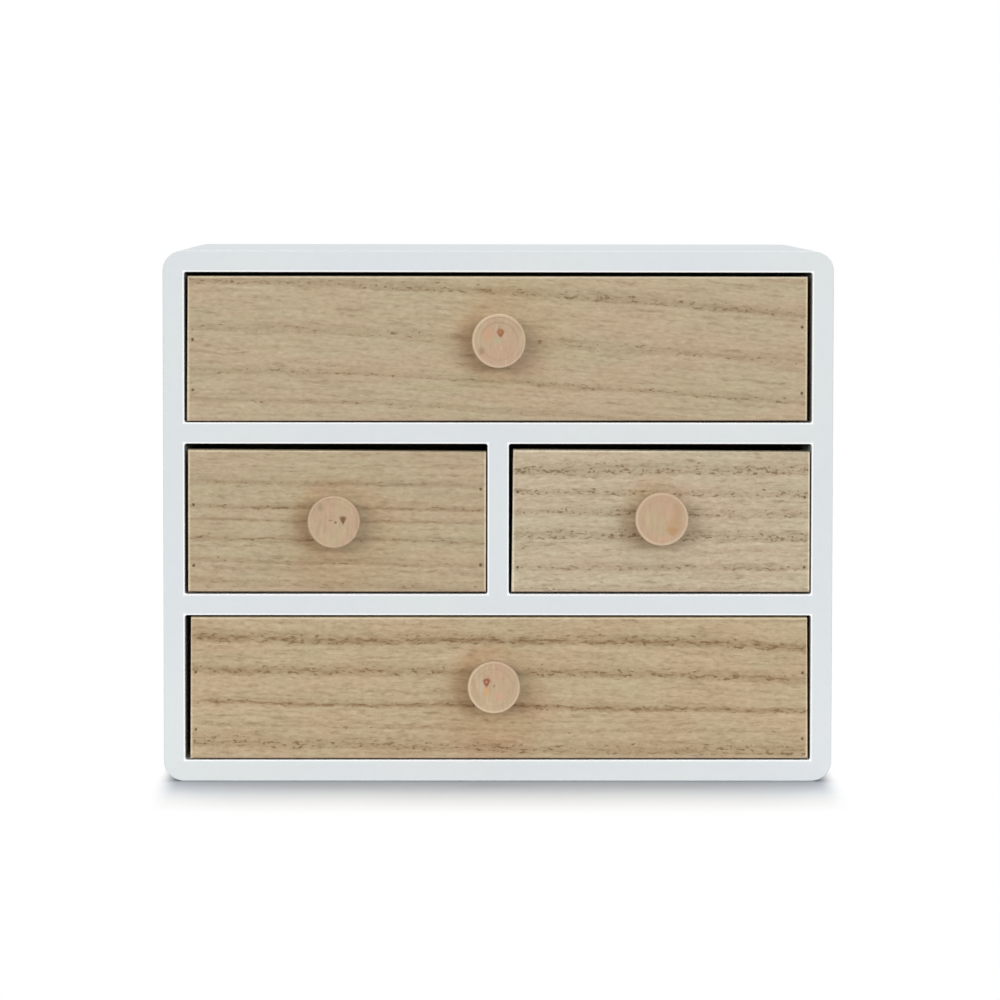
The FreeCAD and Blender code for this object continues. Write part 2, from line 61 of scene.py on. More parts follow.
bl_info = {
    "name": "Mini drawers",
    "version": (1, 0, 0),
    "blender": (4, 5, 0),
    "location": "3D View > Sidebar > Mini drawers",
    "description": "Builds a painted case with four wooden drawers, and the studio round it",
    "category": "Add Mesh",
}

MM = 0.001
TINY = 1e-6
SHARP_ANGLE = math.radians(35)
# Turns a cone that stands on z so that its top points to the front
Y_DOWN = Matrix.Rotation(math.pi / 2, 3, "X")
# How far a cutter reaches past the board that it cuts
PAST = 1 * MM
DRAWERS = ("top", "middle_left", "middle_right", "bottom")
SHELVES = ("upper_shelf", "lower_shelf")
CASE_BOARDS = (
    "top_panel", "bottom_panel", "left_side_panel", "right_side_panel", *SHELVES, "centre_divider",
)
CASE_LOW, CASE_HIGH = BOX["bottom_panel"][0], BOX["top_panel"][1]
# The inner faces of the case's sides, and those of its bottom and its top
INNER_X = (BOX["left_side_panel"][1].x, BOX["right_side_panel"][0].x)
INNER_Z = (BOX["bottom_panel"][1].z, BOX["left_side_panel"][1].z)


def tone(red, green, blue):
    """A colour as a screen shows it, 0 to 255, as the linear colour that Blender works in."""
    shares = (red / 255, green / 255, blue / 255)
    return tuple(s / 12.92 if s <= 0.04045 else ((s + 0.055) / 1.055) ** 2.4 for s in shares)


def scaled(numbers, factor):
    """The numbers of a colour or a place, each times a factor."""
    return tuple(number * factor for number in numbers)


# Settings


def as_colour(name, thing, *rgb):
    about = f"Colour of {thing}"
    return FloatVectorProperty(
        name=name, description=about, subtype="COLOR", size=3, min=0, max=1, default=tone(*rgb)
    )


def as_number(name, about, value, unit="NONE", least=0):
    return FloatProperty(name=name, description=about, unit=unit, min=least, default=value)


def as_length(name, about, millimetres):
    return as_number(name, about, millimetres * MM, "LENGTH")


def as_angle(name, about, degrees):
    return as_number(name, about, math.radians(degrees), "ROTATION", -math.pi)


def as_steps(about, steps):
    return IntProperty(name="Steps", description=about, min=12, max=256, default=steps)


class CaseSettings(bpy.types.PropertyGroup):
    """The painted case."""

    paint: as_colour("Paint", "the painted boards", 221, 226, 227)
    cool_paint: as_colour("Cool paint", "the paint's cooler patches", 220, 225, 229)
    # The edge paint is a highlight painted whiter along the front edges round the openings
    edge_highlight_paint: as_colour("Edge paint", "the paint on the openings' edges", 252, 254, 254)
    outer_edge: as_length("Outer edge", "Radius of the case's outer edges at the front and the rear", 0.3)
    opening_edge: as_length("Opening edge", "Radius of the edges round the drawers' openings", 0.3)
    opening_corner: as_length("Opening corner", "Radius that the paint leaves in the openings' corners", 0.9)
    roller_height: as_length("Roller texture", "Height of the roller's marks in the paint", 0.02)


class DrawerSettings(bpy.types.PropertyGroup):
    """The drawers' boards."""

    early_wood: as_colour("Early wood", "the wood between the growth lines", 189, 173, 140)
    warm_wood: as_colour("Warm wood", "the wood's warmer patches", 191, 169, 138)
    pale_wood: as_colour("Pale wood", "pale fibres", 216, 201, 170)
    pore_wood: as_colour("Pores", "the open pores", 124, 100, 66)
    late_wood: as_colour("Late wood", "the dark growth lines", 136, 106, 69)
    # The edge wood is a highlight painted paler along the eased edges of a face
    edge_highlight_wood: as_colour("Edge wood", "the wood on the eased edges of a face", 234, 219, 188)
    # The lower edge colour is a ragged pinkish band along a front's lower edge
    foot_wood: as_colour("Lower edge", "the rubbed marks along a front's lower edge", 188, 163, 144)
    # The pin dots are painted shade of the pins' holes, on the wood round each sunk pin
    pin_shade_wood: as_colour("Pin dots", "the wood round a sunk pin", 106, 86, 56)
    # The touched tint is the colour of the warm painted shade round a knob
    knob_shade_tint: as_colour("Touched wood", "the tint that the wood takes round a knob", 247, 233, 220)
    front_edge: as_length("Front edge", "Radius of the edges round a drawer's face", 0.4)
    board_edge: as_length("Board edge", "Radius of the other boards' edges", 0.3)
    pin_hole: as_length("Pin hole", "Radius of the hole that a sunk pin leaves", 0.3)
    pore_depth: as_length("Pore depth", "Depth of the open pores", 0.06)


class KnobSettings(bpy.types.PropertyGroup):
    """The turned knobs."""

    wood: as_colour("Wood", "the knobs", 188, 166, 133)
    warm: as_colour("Warm patches", "the knobs' warmer patches", 190, 159, 131)
    # The rim colour is the knobs' paler rim, brightest on one side as a painted highlight, and the pale
    # streaks in their grain
    rim: as_colour("Rim", "the knobs' worn rim", 219, 196, 168)
    steps: as_steps("Faces round a knob", 96)
    turning_height: as_length("Turning marks", "Height of the chisel's fine rings", 0.015)


class SteelSettings(bpy.types.PropertyGroup):
    """Nails, pins and screws."""

    bright: as_colour("Bright steel", "the zinc plating", 196, 196, 192)
    dull: as_colour("Dull steel", "the pins that were driven below the surface", 96, 84, 70)
    thread_pitch: as_length("Thread pitch", "Distance between the screws' threads", 1.3)
    steps: as_steps("Faces round a nail or a screw", 32)


class StudioSettings(bpy.types.PropertyGroup):
    """The floor, the lamps and the camera."""

    camera_place: FloatVectorProperty(
        name="Camera", description="Where the camera stands", subtype="XYZ", unit="LENGTH", size=3,
        default=(-0.0153, -1.8853, 0.2274),
    )
    camera_pitch: as_angle("Pitch", "How far the camera looks down", 3.51)
    camera_yaw: as_angle("Yaw", "How far the camera looks to the right", 0.51)
    camera_roll: as_angle("Roll", "How far the camera leans", 0.075)
    lens: as_number("Lens", "Focal length in millimetres", 172.1, least=1)
    shift: as_number("Shift", "The lens's vertical shift", -0.029, least=-1)
    daylight: as_number("Daylight", "Strength of the even light", 0.35)
    front_power: as_number("Front lamps", "The two front lamps' watts together", 41, "POWER")
    top_power: as_number("Top lamp", "The top lamp's watts", 44, "POWER")


SETTINGS = {
    "mini_drawers_case": CaseSettings,
    "mini_drawers_boards": DrawerSettings,
    "mini_drawers_knobs": KnobSettings,
    "mini_drawers_steel": SteelSettings,
    "mini_drawers_studio": StudioSettings,
}


# Materials


class Value:
    """A socket that can be used in sums: each operation on it adds a Math node."""

    def __init__(self, finish, socket):
        self.finish = finish
        self.socket = socket

    def math(self, operation, *others):
        inputs = dict(enumerate((self, *others)))
        return self.finish.add("ShaderNodeMath", {"operation": operation}, inputs)

    __add__ = partialmethod(math, "ADD")
    __sub__ = partialmethod(math, "SUBTRACT")
    __mul__ = partialmethod(math, "MULTIPLY")
    __truediv__ = partialmethod(math, "DIVIDE")
    __pow__ = partialmethod(math, "POWER")
    size = partialmethod(math, "ABSOLUTE")
    least = partialmethod(math, "MINIMUM")
    most = partialmethod(math, "MAXIMUM")

    def __rsub__(self, other):
        return (self * -1) + other

    def held(self):
        """Holds the sum between 0 and 1."""
        self.socket.node.use_clamp = True
        return self

    def rise(self, start, end):
        """0 at the start and before it, 1 at the end and past it, with a smooth change between them."""
        names = {"Value": self, "From Min": start, "From Max": end}
        return self.finish.add("ShaderNodeMapRange", {"interpolation_type": "SMOOTHSTEP"}, names)


class Finish:
    """A material or a world in the making, node by node."""

    def __init__(self, name, kind="materials"):
        self.owner = getattr(bpy.data, kind).new(name)
        self.owner.use_nodes = True
        self.nodes = self.owner.node_tree.nodes
        self.links = self.owner.node_tree.links
        self.nodes.clear()

    def add(self, kind, settings=None, inputs=None, output=0):
        """Adds a node. An input is another node's value or a constant, and a colour has three numbers."""
        node = self.nodes.new(kind)
        for key, value in (settings or {}).items():
            setattr(node, key, value)
        for key, value in (inputs or {}).items():
            socket = node.inputs[key]
            if isinstance(value, Value):
                self.links.new(value.socket, socket)
            else:
                socket.default_value = (*value, 1) if socket.type == "RGBA" else value
        return Value(self, node.outputs[output])

    def parts(self, whole, kind="XYZ"):
        """The three numbers of a vector, or of a colour."""
        first = self.add(f"ShaderNodeSeparate{kind}", inputs={0: whole})
        return [Value(self, socket) for socket in first.socket.node.outputs]

    def vector(self, x, y, z):
        return self.add("ShaderNodeCombineXYZ", inputs={0: x, 1: y, 2: z})

    def place(self, centre):
        """The place on the piece in millimetres from the centre, as a vector."""
        spot = self.add("ShaderNodeTexCoord", output="Object")
        inputs = {"Vector": spot, "Location": scaled(centre, -1 / MM), "Scale": (1 / MM,) * 3}
        return self.add("ShaderNodeMapping", inputs=inputs)

    def noise(self, vector, *stretch, detail=2.0, roughness=0.5, seed=0.0, bend=0.0):
        """Noise from 0 to 1 around a half.

        The stretch is how often it changes per millimetre on each axis, and its last number goes for any
        axes left over.
        """
        stretch += stretch[-1:] * (3 - len(stretch))
        names = {"Vector": vector, "Scale": stretch, "Location": (seed, seed * 1.7, seed * 2.3)}
        spread = self.add("ShaderNodeMapping", inputs=names)
        look = {"Scale": 1.0, "Detail": detail, "Roughness": roughness, "Distortion": bend}
        return self.add("ShaderNodeTexNoise", inputs={"Vector": spread, **look})

    def ramp(self, share, stops):
        """A colour ramp at a share of its length. The stops are (place, colour), in rising order."""
        ramp = self.add("ShaderNodeValToRGB", inputs={0: share})
        elements = ramp.socket.node.color_ramp.elements
        while len(elements) < len(stops):
            elements.new(1)
        for element, (place, colour) in zip(elements, stops):
            element.position = place
            element.color = (*colour, 1)
        return ramp

    def mix(self, share, first, second, blend="MIX"):
        """Mixes two colours. The node holds the share between 0 and 1."""
        settings = {"data_type": "RGBA", "blend_type": blend}
        return self.add("ShaderNodeMix", settings, {0: share, 6: first, 7: second}, output=2)

    def coated(self, colour, *coats):
        """Lays coats over a colour, one after another, each given as (share, colour)."""
        for share, coat in coats:
            colour = self.mix(share, colour, coat)
        return colour

    def glow(self, kind, strength):
        """White light, as an Emission or a Background."""
        return self.add(f"ShaderNode{kind}", inputs={"Color": (1, 1, 1), "Strength": strength})

    def blend(self, share, first, second):
        """Mixes two shaders."""
        return self.add("ShaderNodeMixShader", inputs={0: share, 1: first, 2: second})

    def surface(self, colour, rough, relief, depth, shine=0.5, metal=0.0):
        """Closes a material with a Principled surface, whose relief is as high as the depth."""
        normal = self.add("ShaderNodeBump", inputs={"Height": relief, "Distance": depth, "Strength": 1.0})
        looks = {"Base Color": colour, "Roughness": rough, "Specular IOR Level": shine, "Metallic": metal}
        return self.closed(self.add("ShaderNodeBsdfPrincipled", inputs={"Normal": normal, **looks}))

    def closed(self, shader, kind="Material"):
        """Hands a shader to the output, and returns the finished material or world."""
        output = self.nodes.new(f"ShaderNodeOutput{kind}")
        self.links.new(shader.socket, output.inputs["Surface"])
        return self.owner


def paint_finish(settings):
    """Satin paint: the roller's soft marks, a few nibs of dust, and a highlight painted whiter on the
    edges round the openings.
    """
    paint = Finish("white_paint")
    spot = paint.place((0, 0, 0))
    x, y, z = paint.parts(spot)
    broad = paint.noise(spot, 0.012, detail=1)
    roller = paint.noise(spot, 0.35, detail=3, roughness=0.55, seed=3)
    fine = paint.noise(spot, 1.6, seed=9)
    nibs = paint.noise(spot, 0.11, detail=4, roughness=0.7, seed=21).rise(0.74, 0.8)
    past = None
    for (left, low), (right, high) in case_openings():
        aside = (x - (left + right) / 2 / MM).size() - (right - left) / 2 / MM
        above = (z - (low + high) / 2 / MM).size() - (high - low) / 2 / MM
        gap = aside.most(above)
        past = past.least(gap) if past else gap
    front = CASE_LOW.y / MM
    # A highlight painted whiter along the front edges round the openings
    painted_edge_highlight = past.rise(0.75, 0.4) * y.rise(front + 0.9, front + 0.5)
    colour = paint.coated(
        paint.mix(broad.rise(0.4, 0.6), settings.paint, settings.cool_paint),
        ((roller - 0.35) * 0.16, scaled(settings.paint, 0.8)),
        (painted_edge_highlight, settings.edge_highlight_paint),
    )
    relief = (roller - 0.5) + (fine - 0.5) * 0.3 + nibs * 0.6
    gloss = (roller - 0.5) * 0.16 + (broad - 0.5) * 0.1 + 0.55
    return paint.surface(colour, gloss, relief, settings.roller_height, shine=0.3)


# How a front's growth lines lie. Each line: its height as a share of the front's height, how many pores it
# holds, how dark its core is, and how wide its band of pores is as a share of the height. The slope and the
# curve are how far the lines sink to the right, as shares of the way along the board. The wave is how much
# they sway, the speckle how strong the flecks are, and the short share how many of the pores are short. The
# knob shade is where the warm painted shade round the knob is strongest, in millimetres from the knob, and
# how strong it is. The tint is the board's own colour against the others.
GRAIN = {
    "top": {
        "lines": ((0.07, 0.7, 0.15, 0.04), (0.275, 0.85, 0.25, 0.045), (0.56, 0.75, 0.15, 0.06),
                  (0.88, 0.95, 0.3, 0.07), (1.13, 0.6, 0.1, 0.09)),
        "slope": 0.054, "curve": 0.019, "wave": 1.0, "speckle": 0.9, "seed": 11.0, "short": 0.5,
        "warmth": ((3, 2), 0.35), "tint": (0.962, 0.957, 0.973),
    },
    "middle_left": {
        "lines": ((0.045, 0.8, 0.15, 0.05), (0.2, 0.8, 0.3, 0.045), (0.365, 0.9, 0.6, 0.04),
                  (0.5, 0.7, 0.6, 0.03), (0.592, 0.9, 0.7, 0.04), (0.77, 0.8, 0.3, 0.05)),
        "slope": 0.02, "curve": 0.0, "wave": 0.8, "speckle": 1.0, "seed": 23.0, "short": 0.4,
        "warmth": ((3, -7), 0.45), "tint": (0.938, 0.93, 0.94),
    },
    "middle_right": {
        "lines": ((0.012, 0.75, 0.15, 0.03), (0.163, 0.95, 0.1, 0.05), (0.388, 1.0, 0.05, 0.08),
                  (0.558, 0.93, 0.1, 0.06), (0.7, 0.93, 0.05, 0.06), (0.86, 1.07, 0.1, 0.08)),
        "slope": 0.003, "curve": 0.0, "wave": 0.6, "speckle": 1.1, "seed": 37.0, "short": 0.65,
        "warmth": ((-4, 0), 0.1), "tint": (1.035, 1.075, 1.17),
    },
    "bottom": {
        "lines": ((0.07, 1.0, 0.1, 0.1), (0.2, 0.6, 0.3, 0.03), (0.364, 1.0, 1.0, 0.055),
                  (0.6, 1.05, 0.6, 0.075), (0.825, 1.15, 1.0, 0.085), (1.0, 0.6, 0.2, 0.03)),
        "slope": 0.017, "curve": 0.0, "wave": 1.1, "speckle": 1.1, "seed": 53.0, "short": 0.35,
        "warmth": ((0, -8), 0.55), "tint": (0.97, 0.945, 0.925),
    },
}
# The grain of the boards that aren't fronts
PLAIN_GRAIN = {
    "lines": ((0.1, 0.9, 0.3, 0.05), (0.32, 1, 0.4, 0.05), (0.55, 0.9, 0.3, 0.06), (0.78, 1, 0.4, 0.06)),
    "slope": 0.02, "curve": 0.0, "wave": 1.4, "speckle": 0.9, "short": 0.4,
    "tint": (0.95, 0.95, 0.93),
}
# The ramp reaches past the board by this share of its height, so that sloping lines can enter
RAMP_MARGIN_SHARE = 0.25
RAMP_REACH = 1 + 2 * RAMP_MARGIN_SHARE
# How far a line's crowd of pores stays full on each side of its core, as a share of its band's width
CORE_SHARE = 0.28
# The most pores that a ramp can give, because its own colours end at 1
MOST_PORES = 1.3


def growth_stops(lines):
    """The ramp of the growth lines: red is how many pores there are, green is the line's dark core."""
    stops = []
    for place, pores, core, width in lines:
        red = pores / MOST_PORES
        band = ((-0.5, 0, 0), (-CORE_SHARE, 1, 0), (0, 1, core), (CORE_SHARE, 0.85, 0), (1.0, 0, 0))
        for shift, share, green in band:
            across = (place + shift * width + RAMP_MARGIN_SHARE) / RAMP_REACH
            stops.append((max(0.0, min(1.0, across)), (red * share, green, 0)))
    return stops


def growth_lines(wood, place, size, grain):
    """Sloping, curving and wavering growth lines.

    Returns the place on the board, the place in its flow, the crowd of pores and the darkness of the cores.
    """
    (along, across, depth), (length, width) = place, size
    wave, seed = grain["wave"], grain["seed"]
    point = wood.vector(along, across, depth)
    swell = wood.noise(point, 0.008, 0.03, detail=1, seed=seed) - 0.5
    waver = wood.noise(point, 0.045, 0.12, 0.1, seed=seed + 5) - 0.5
    fray = wood.noise(point, 0.3, 0.6, seed=seed + 7) - 0.5
    sway = swell * (4.5 * wave) + waver * (1.8 * wave) + fray * 1.5
    run = along / length
    fall = run * (grain["slope"] * length) + run * run * (grain["curve"] * length * 2)
    level = across + fall + sway
    ramp = wood.ramp(level / width / RAMP_REACH + 0.5, growth_stops(grain["lines"]))
    crowd, core, _ = wood.parts(ramp, "Color")
    return point, wood.vector(along, level, depth), crowd * MOST_PORES, core


def distance(along, across, place):
    """How far off a place on a face is."""
    return ((along - place[0]) ** 2 + (across - place[1]) ** 2) ** 0.5


def face_shade_and_highlights(wood, colour, place, size, fleck, fine, grain, face, boards):
    """A front's edges with a painted highlight, a ragged pinkish band along its lower edge, warm painted
    shade round the knob, and dark dots of painted shade round its pins.
    """
    (along, across), (length, width), ((knob_x, knob_z), pins) = place, size, face
    rim = (length / 2 - along.size()).least(width / 2 - across)
    # A ragged pinkish band along the face's lower edge
    foot = (across + width / 2).rise(1.1, 0.3) * fine.rise(0.4, 0.55)
    # A highlight painted paler along the face's eased edges, broken up by the flecks
    rubbed = rim.rise(0.9, 0.5) * (fleck * 0.8 + 0.2)
    colour = wood.coated(colour, (rubbed, boards.edge_highlight_wood), (foot * 0.6, boards.foot_wood))
    # Warm painted shade round the knob, for its shadow and the warm light it throws back: close round it and
    # darker to its left, and in a broad patch round a point beside it
    (right, up), warmth = grain["warmth"]
    from_knob = distance(along, across, (knob_x, knob_z))
    from_shade_centre = distance(along, across, (knob_x + right, knob_z + up))
    touched = (from_knob.rise(18, 9.5) * (0.55 - (along - knob_x) * 0.04)).most(0)
    touched = touched + from_shade_centre.rise(27, 14) * from_knob.rise(10.5, 13.5) * warmth
    colour = wood.mix(touched, colour, boards.knob_shade_tint, "MULTIPLY")
    # Dark dots of painted shade round each sunk pin's hole
    for pin in pins:
        pin_shade = distance(along, across, pin) + (fine - 0.5) * 0.5
        colour = wood.mix(pin_shade.rise(0.75, 0.4) * 0.85, colour, boards.pin_shade_wood)
    return colour


def wood_finish(name, low, high, axes, grain, boards, face=None):
    """Open-pored board wood. The axes name the board's length, width and thickness.

    A front's face is given as its knob's place and its pins' places, in millimetres from its middle.
    """
    wood = Finish(name)
    parts, extent = wood.parts(wood.place((low + high) / 2)), (high - low) / MM
    order = ["xyz".index(axis) for axis in axes]
    place, size = [parts[axis] for axis in order], [extent[axis] for axis in order[:2]]
    seed, short, speckle = grain["seed"], grain["short"], grain["speckle"]
    point, flow, crowd, core = growth_lines(wood, place, size, grain)

    # Pores: short dark dashes along the grain, crowded in the growth lines, each with a pale side
    dash = wood.noise(flow, 0.3, 1.15, roughness=0.55, seed=seed + 13)
    fine = wood.noise(flow, 0.7, 1.3, detail=1, seed=seed + 15)
    grainy = dash * (1 - short) + fine * short
    pore = ((grainy + crowd * 0.17 - 0.7) * 11).held()
    glint = ((0.42 - grainy) * (crowd * 0.9 + 0.35) * 9).held()
    broken = wood.noise(point, 0.08, 0.25, seed=seed + 17).rise(0.3, 0.52)
    line = core * broken * (dash.rise(0.35, 0.6) * 0.65 + 0.35)

    # Tone: broad warm patches, long fibres, short pale and dark flecks
    patch = wood.noise(point, 0.03, 0.09, seed=seed + 19).rise(0.34, 0.66)
    fibre = wood.noise(flow, 0.05, 0.8, seed=seed + 29)
    smear = wood.noise(flow, 0.15, 0.95, roughness=0.55, seed=seed + 43)
    fleck = wood.noise(flow, 0.38, 0.95, detail=3, roughness=0.6, seed=seed + 31)
    pale = (fleck - 0.52).most(0) * (1.9 * speckle) + (fibre - 0.55).most(0) * 1.2
    dark = (0.48 - fleck).most(0) * (1.3 * speckle) + (0.48 - fibre).most(0) * 1.1
    dark = dark + (0.45 - smear).most(0) * (1.7 * speckle)
    colour = wood.coated(
        wood.mix(patch, boards.early_wood, boards.warm_wood),
        (pale + glint * 0.3, boards.pale_wood),
        (dark + crowd * 0.06, boards.pore_wood),
        (crowd * 0.19, boards.late_wood),
        (pore * 0.8, boards.pore_wood),
        (line * 0.85, boards.late_wood),
    )
    if face:
        colour = face_shade_and_highlights(wood, colour, place[:2], size, fleck, fine, grain, face, boards)
    colour = wood.mix(1.0, colour, grain["tint"], "MULTIPLY")
    relief = (fibre - 0.5) * 0.35 + (fleck - 0.5) * 0.4 - pore - line * 0.5
    rough = (fleck - 0.5) * 0.2 + pore * 0.15 + 0.6
    return wood.surface(colour, rough, relief, boards.pore_depth, shine=0.25)


def sheet_finish(name, low, high, boards, seed):
    """Thin plywood: a plain sliced face with fine lines, and the layers showing on its edges."""
    sheet = Finish(name)
    spot = sheet.place((low + high) / 2)
    _, _, depth = sheet.parts(spot)
    half = (high.z - low.z) / MM / 2
    core = (depth.size() / half).rise(0.42, 0.34)
    fibre = sheet.noise(spot, 0.02, 1.2, detail=4, seed=seed)
    figure = sheet.noise(spot, 0.006, 0.06, detail=3, seed=seed + 3, bend=1.2)
    fleck = sheet.noise(spot, 0.4, 2.4, seed=seed + 5)
    colour = sheet.coated(
        sheet.mix(figure.rise(0.3, 0.7), boards.pale_wood, boards.warm_wood),
        (fibre.rise(0.5, 0.75) * 0.35 + fleck.rise(0.6, 0.8) * 0.3, boards.pore_wood),
        (core * 0.55, boards.late_wood),
    )
    relief = (fibre - 0.5) * 0.5 + (fleck - 0.5) * 0.4
    rough = (fibre - 0.5) * 0.2 + 0.62
    return sheet.surface(colour, rough, relief, boards.pore_depth * 0.6, shine=0.25)


# Marks on the knobs' faces. Each: how far right of and above the middle, half its width and height, all as
# shares of the knob's radius, how much it narrows downwards, its colour on a screen and its strength.
KNOB_MARKS = {
    "top": (
        ((0.06, 0.29), (0.13, 0.2), 0.75, (152, 94, 54), 0.95),
        ((0.05, 0.34), (0.05, 0.05), 0, (188, 132, 88), 0.8),
        ((-0.05, 0.02), (0.15, 0.15), 0, (178, 172, 140), 0.6),
        ((-0.45, 0.25), (0.16, 0.3), 0, (203, 152, 116), 0.6),
        ((-0.65, -0.36), (0.12, 0.15), 0, (160, 126, 92), 0.7),
    ),
    "middle_left": (
        ((0.34, 0.06), (0.1, 0.17), 0.7, (120, 82, 50), 0.95),
        ((0.07, -0.02), (0.05, 0.05), 0, (126, 88, 54), 0.9),
        ((-0.13, 0.06), (0.09, 0.03), 0, (150, 118, 84), 0.8),
        ((-0.5, 0.55), (0.1, 0.14), 0, (150, 136, 104), 0.6),
    ),
    "middle_right": (
        # The first three marks here are a brown crescent of painted shade on the right of the face
        ((0.55, 0.22), (0.2, 0.4), 0.2, (178, 146, 108), 0.6),
        ((0.48, -0.2), (0.28, 0.3), 0, (184, 148, 108), 0.6),
        ((0.38, -0.46), (0.2, 0.17), 0.6, (180, 138, 92), 0.75),
        ((0.15, -0.72), (0.2, 0.1), 0, (206, 160, 126), 0.5),
        ((0.3, 0.3), (0.16, 0.3), 0, (200, 164, 138), 0.5),
    ),
    "bottom": (
        ((-0.28, 0.17), (0.12, 0.2), 0.7, (140, 76, 50), 0.95),
        ((-0.28, 0.2), (0.05, 0.06), 0, (196, 136, 110), 0.9),
        ((-0.28, -0.16), (0.1, 0.2), 0, (208, 160, 104), 0.7),
        ((-0.47, -0.02), (0.09, 0.32), 0, (194, 182, 156), 0.5),
        ((0.0, 0.05), (0.05, 0.05), 0, (156, 124, 92), 0.8),
        ((0.18, -0.34), (0.17, 0.15), 0, (208, 156, 132), 0.6),
    ),
}
# How pale each knob's rim is, which way it is palest (right, up) as a painted highlight, and how dark
# the ring of painted shade inside it is
KNOB_RIM_LIGHT_AND_SHADE = {
    "top": (0.55, (-0.2, -0.05), 0.4),
    "middle_left": (0.2, (-0.1, 0.0), 0.05),
    "middle_right": (0.6, (-0.1, -0.15), 0.05),
    "bottom": (0.8, (-0.2, -0.3), 0.2),
}


def knob_finish(name, low, high, settings):
    """Sanded turned wood: end grain on the face, long grain on the side, a pale rim brightest on one side
    as a painted highlight, a ring of painted shade inside it, and small marks.
    """
    knob = Finish(f"knob_wood_{name}")
    radius, length = (high.x - low.x) / MM / 2, (high.y - low.y) / MM
    seed = GRAIN[name]["seed"]
    spot = knob.place((low + high) / 2)
    x, y, z = knob.parts(spot)
    from_axis = (x * x + z * z) ** 0.5
    patch = knob.noise(spot, 0.09, 0.03, 0.09, seed=seed)
    streak = knob.noise(spot, 0.9, 0.08, 0.22, detail=3, seed=seed + 3)
    pores = knob.noise(spot, 2.6, 0.25, 2.6, roughness=0.65, seed=seed + 7)
    ragged = (knob.noise(spot, 0.5, detail=3, seed=seed + 11) - 0.5) * 0.9
    rings = ((from_axis + (patch - 0.5) * 1.2) * 5.2).math("SINE")
    light = (streak - 0.55).most(0) * 1.8 + (rings * 0.5 + 0.5) * 0.03
    dark = (0.44 - pores).most(0) * 2.2 + (0.44 - streak).most(0) * 1.4
    colour = knob.coated(
        knob.mix(patch.rise(0.34, 0.66), settings.wood, settings.warm),
        (light, settings.rim),
        (dark, scaled(settings.warm, 0.5)),
    )
    on_face = y.rise(-0.3 * length, -0.42 * length)
    for (right, up), (wide, tall), narrowing, mark, strength in KNOB_MARKS[name]:
        down = (z / radius - up) / tall
        aside = (x / radius - right) / wide
        if narrowing:
            aside = aside / (down * narrowing + 1).most(0.15)
        reach = (aside * aside + down * down) ** 0.5 + ragged
        shown = reach.rise(2.1 - strength, 0.1 + strength * 0.5) * on_face * strength
        colour = knob.mix(shown, colour, tone(*mark))
    pale, (right, up), ring = KNOB_RIM_LIGHT_AND_SHADE[name]
    out = from_axis / radius
    # A ring of painted shade inside the rim
    groove = out.rise(0.64, 0.69) * out.rise(0.76, 0.71) * on_face * (ring * 0.5)
    # The paler rim, brightest on one side as a painted highlight
    edge = out.rise(0.84, 0.96) * on_face * (pores * 0.5 + 0.6)
    edge = edge * (x * (right / radius) + z * (up / radius) + pale)
    colour = knob.coated(colour, (groove, scaled(settings.warm, 0.6)), (edge, settings.rim))
    relief = rings * 0.2 + (pores - 0.5) + (streak - 0.5) * 0.6
    rough = (streak - 0.5) * 0.2 + 0.52
    return knob.surface(colour, rough, relief, settings.turning_height, shine=0.3)


SCRATCH_DEPTH = 0.02 * MM


def steel_finish(name, colour, rough):
    """Plated steel: drawing marks, small pits and uneven plating."""
    steel = Finish(name)
    spot = steel.place((0, 0, 0))
    cloud = steel.noise(spot, 0.5, detail=3)
    scratch = steel.noise(spot, 6.0, 0.6, 6.0, seed=5)
    pits = steel.noise(spot, 3.0, seed=8).rise(0.62, 0.72)
    shade = steel.coated(colour, (cloud - 0.35, scaled(colour, 0.6)), (pits * 0.5, scaled(colour, 0.35)))
    roughness = (cloud - 0.5) * 0.3 + pits * 0.2 + rough
    relief = (scratch - 0.5) * 0.6 - pits * 0.6
    return steel.surface(shade, roughness, relief, SCRATCH_DEPTH, metal=1.0)


# Mesh helpers


def add_object(name, data):
    """Makes an object and puts it into the scene."""
    thing = bpy.data.objects.new(name, data)
    bpy.context.scene.collection.objects.link(thing)
    return thing


def as_mesh(shape, name):
    """Turns a shape into a mesh."""
    mesh = bpy.data.meshes.new(name)
    shape.to_mesh(mesh)
    shape.free()
    return mesh


def take_in(shape, mesh):
    """Adds a mesh to a shape, and removes it."""
    shape.from_mesh(mesh)
    bpy.data.meshes.remove(mesh)


def mend(shape, gap):
    """Joins vertices that are closer than the gap, and turns the faces outward."""
    bmesh.ops.remove_doubles(shape, verts=shape.verts, dist=gap)
    bmesh.ops.recalc_face_normals(shape, faces=shape.faces)


def close_holes(shape):
    bmesh.ops.holes_fill(shape, edges=[edge for edge in shape.edges if edge.is_boundary], sides=0)


def add_piece(name, mesh, material, body, slot, *nodes):
    """Makes a finished shape or mesh a piece of the object that stands for CAD nodes."""
    if isinstance(mesh, bmesh.types.BMesh):
        mend(mesh, TINY * 0.1)
        mesh = as_mesh(mesh, name)
    mesh.name = name
    mesh.polygons.foreach_set("use_smooth", [True] * len(mesh.polygons))
    mesh.set_sharp_from_angle(angle=SHARP_ANGLE)
    mesh.materials.clear()
    mesh.materials.append(material)
    piece = add_object(name, mesh)
    piece.modifiers.new("even_shading", "WEIGHTED_NORMAL").keep_sharp = True
    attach(piece, body)
    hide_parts(*nodes)


def on_axis(low, high, level):
    """The place on a box's middle line along y, at a level of y."""
    return Vector(((low.x + high.x) / 2, level, (low.z + high.z) / 2))


def move(shape, way, verts=None):
    bmesh.ops.translate(shape, verts=verts or shape.verts, vec=way)


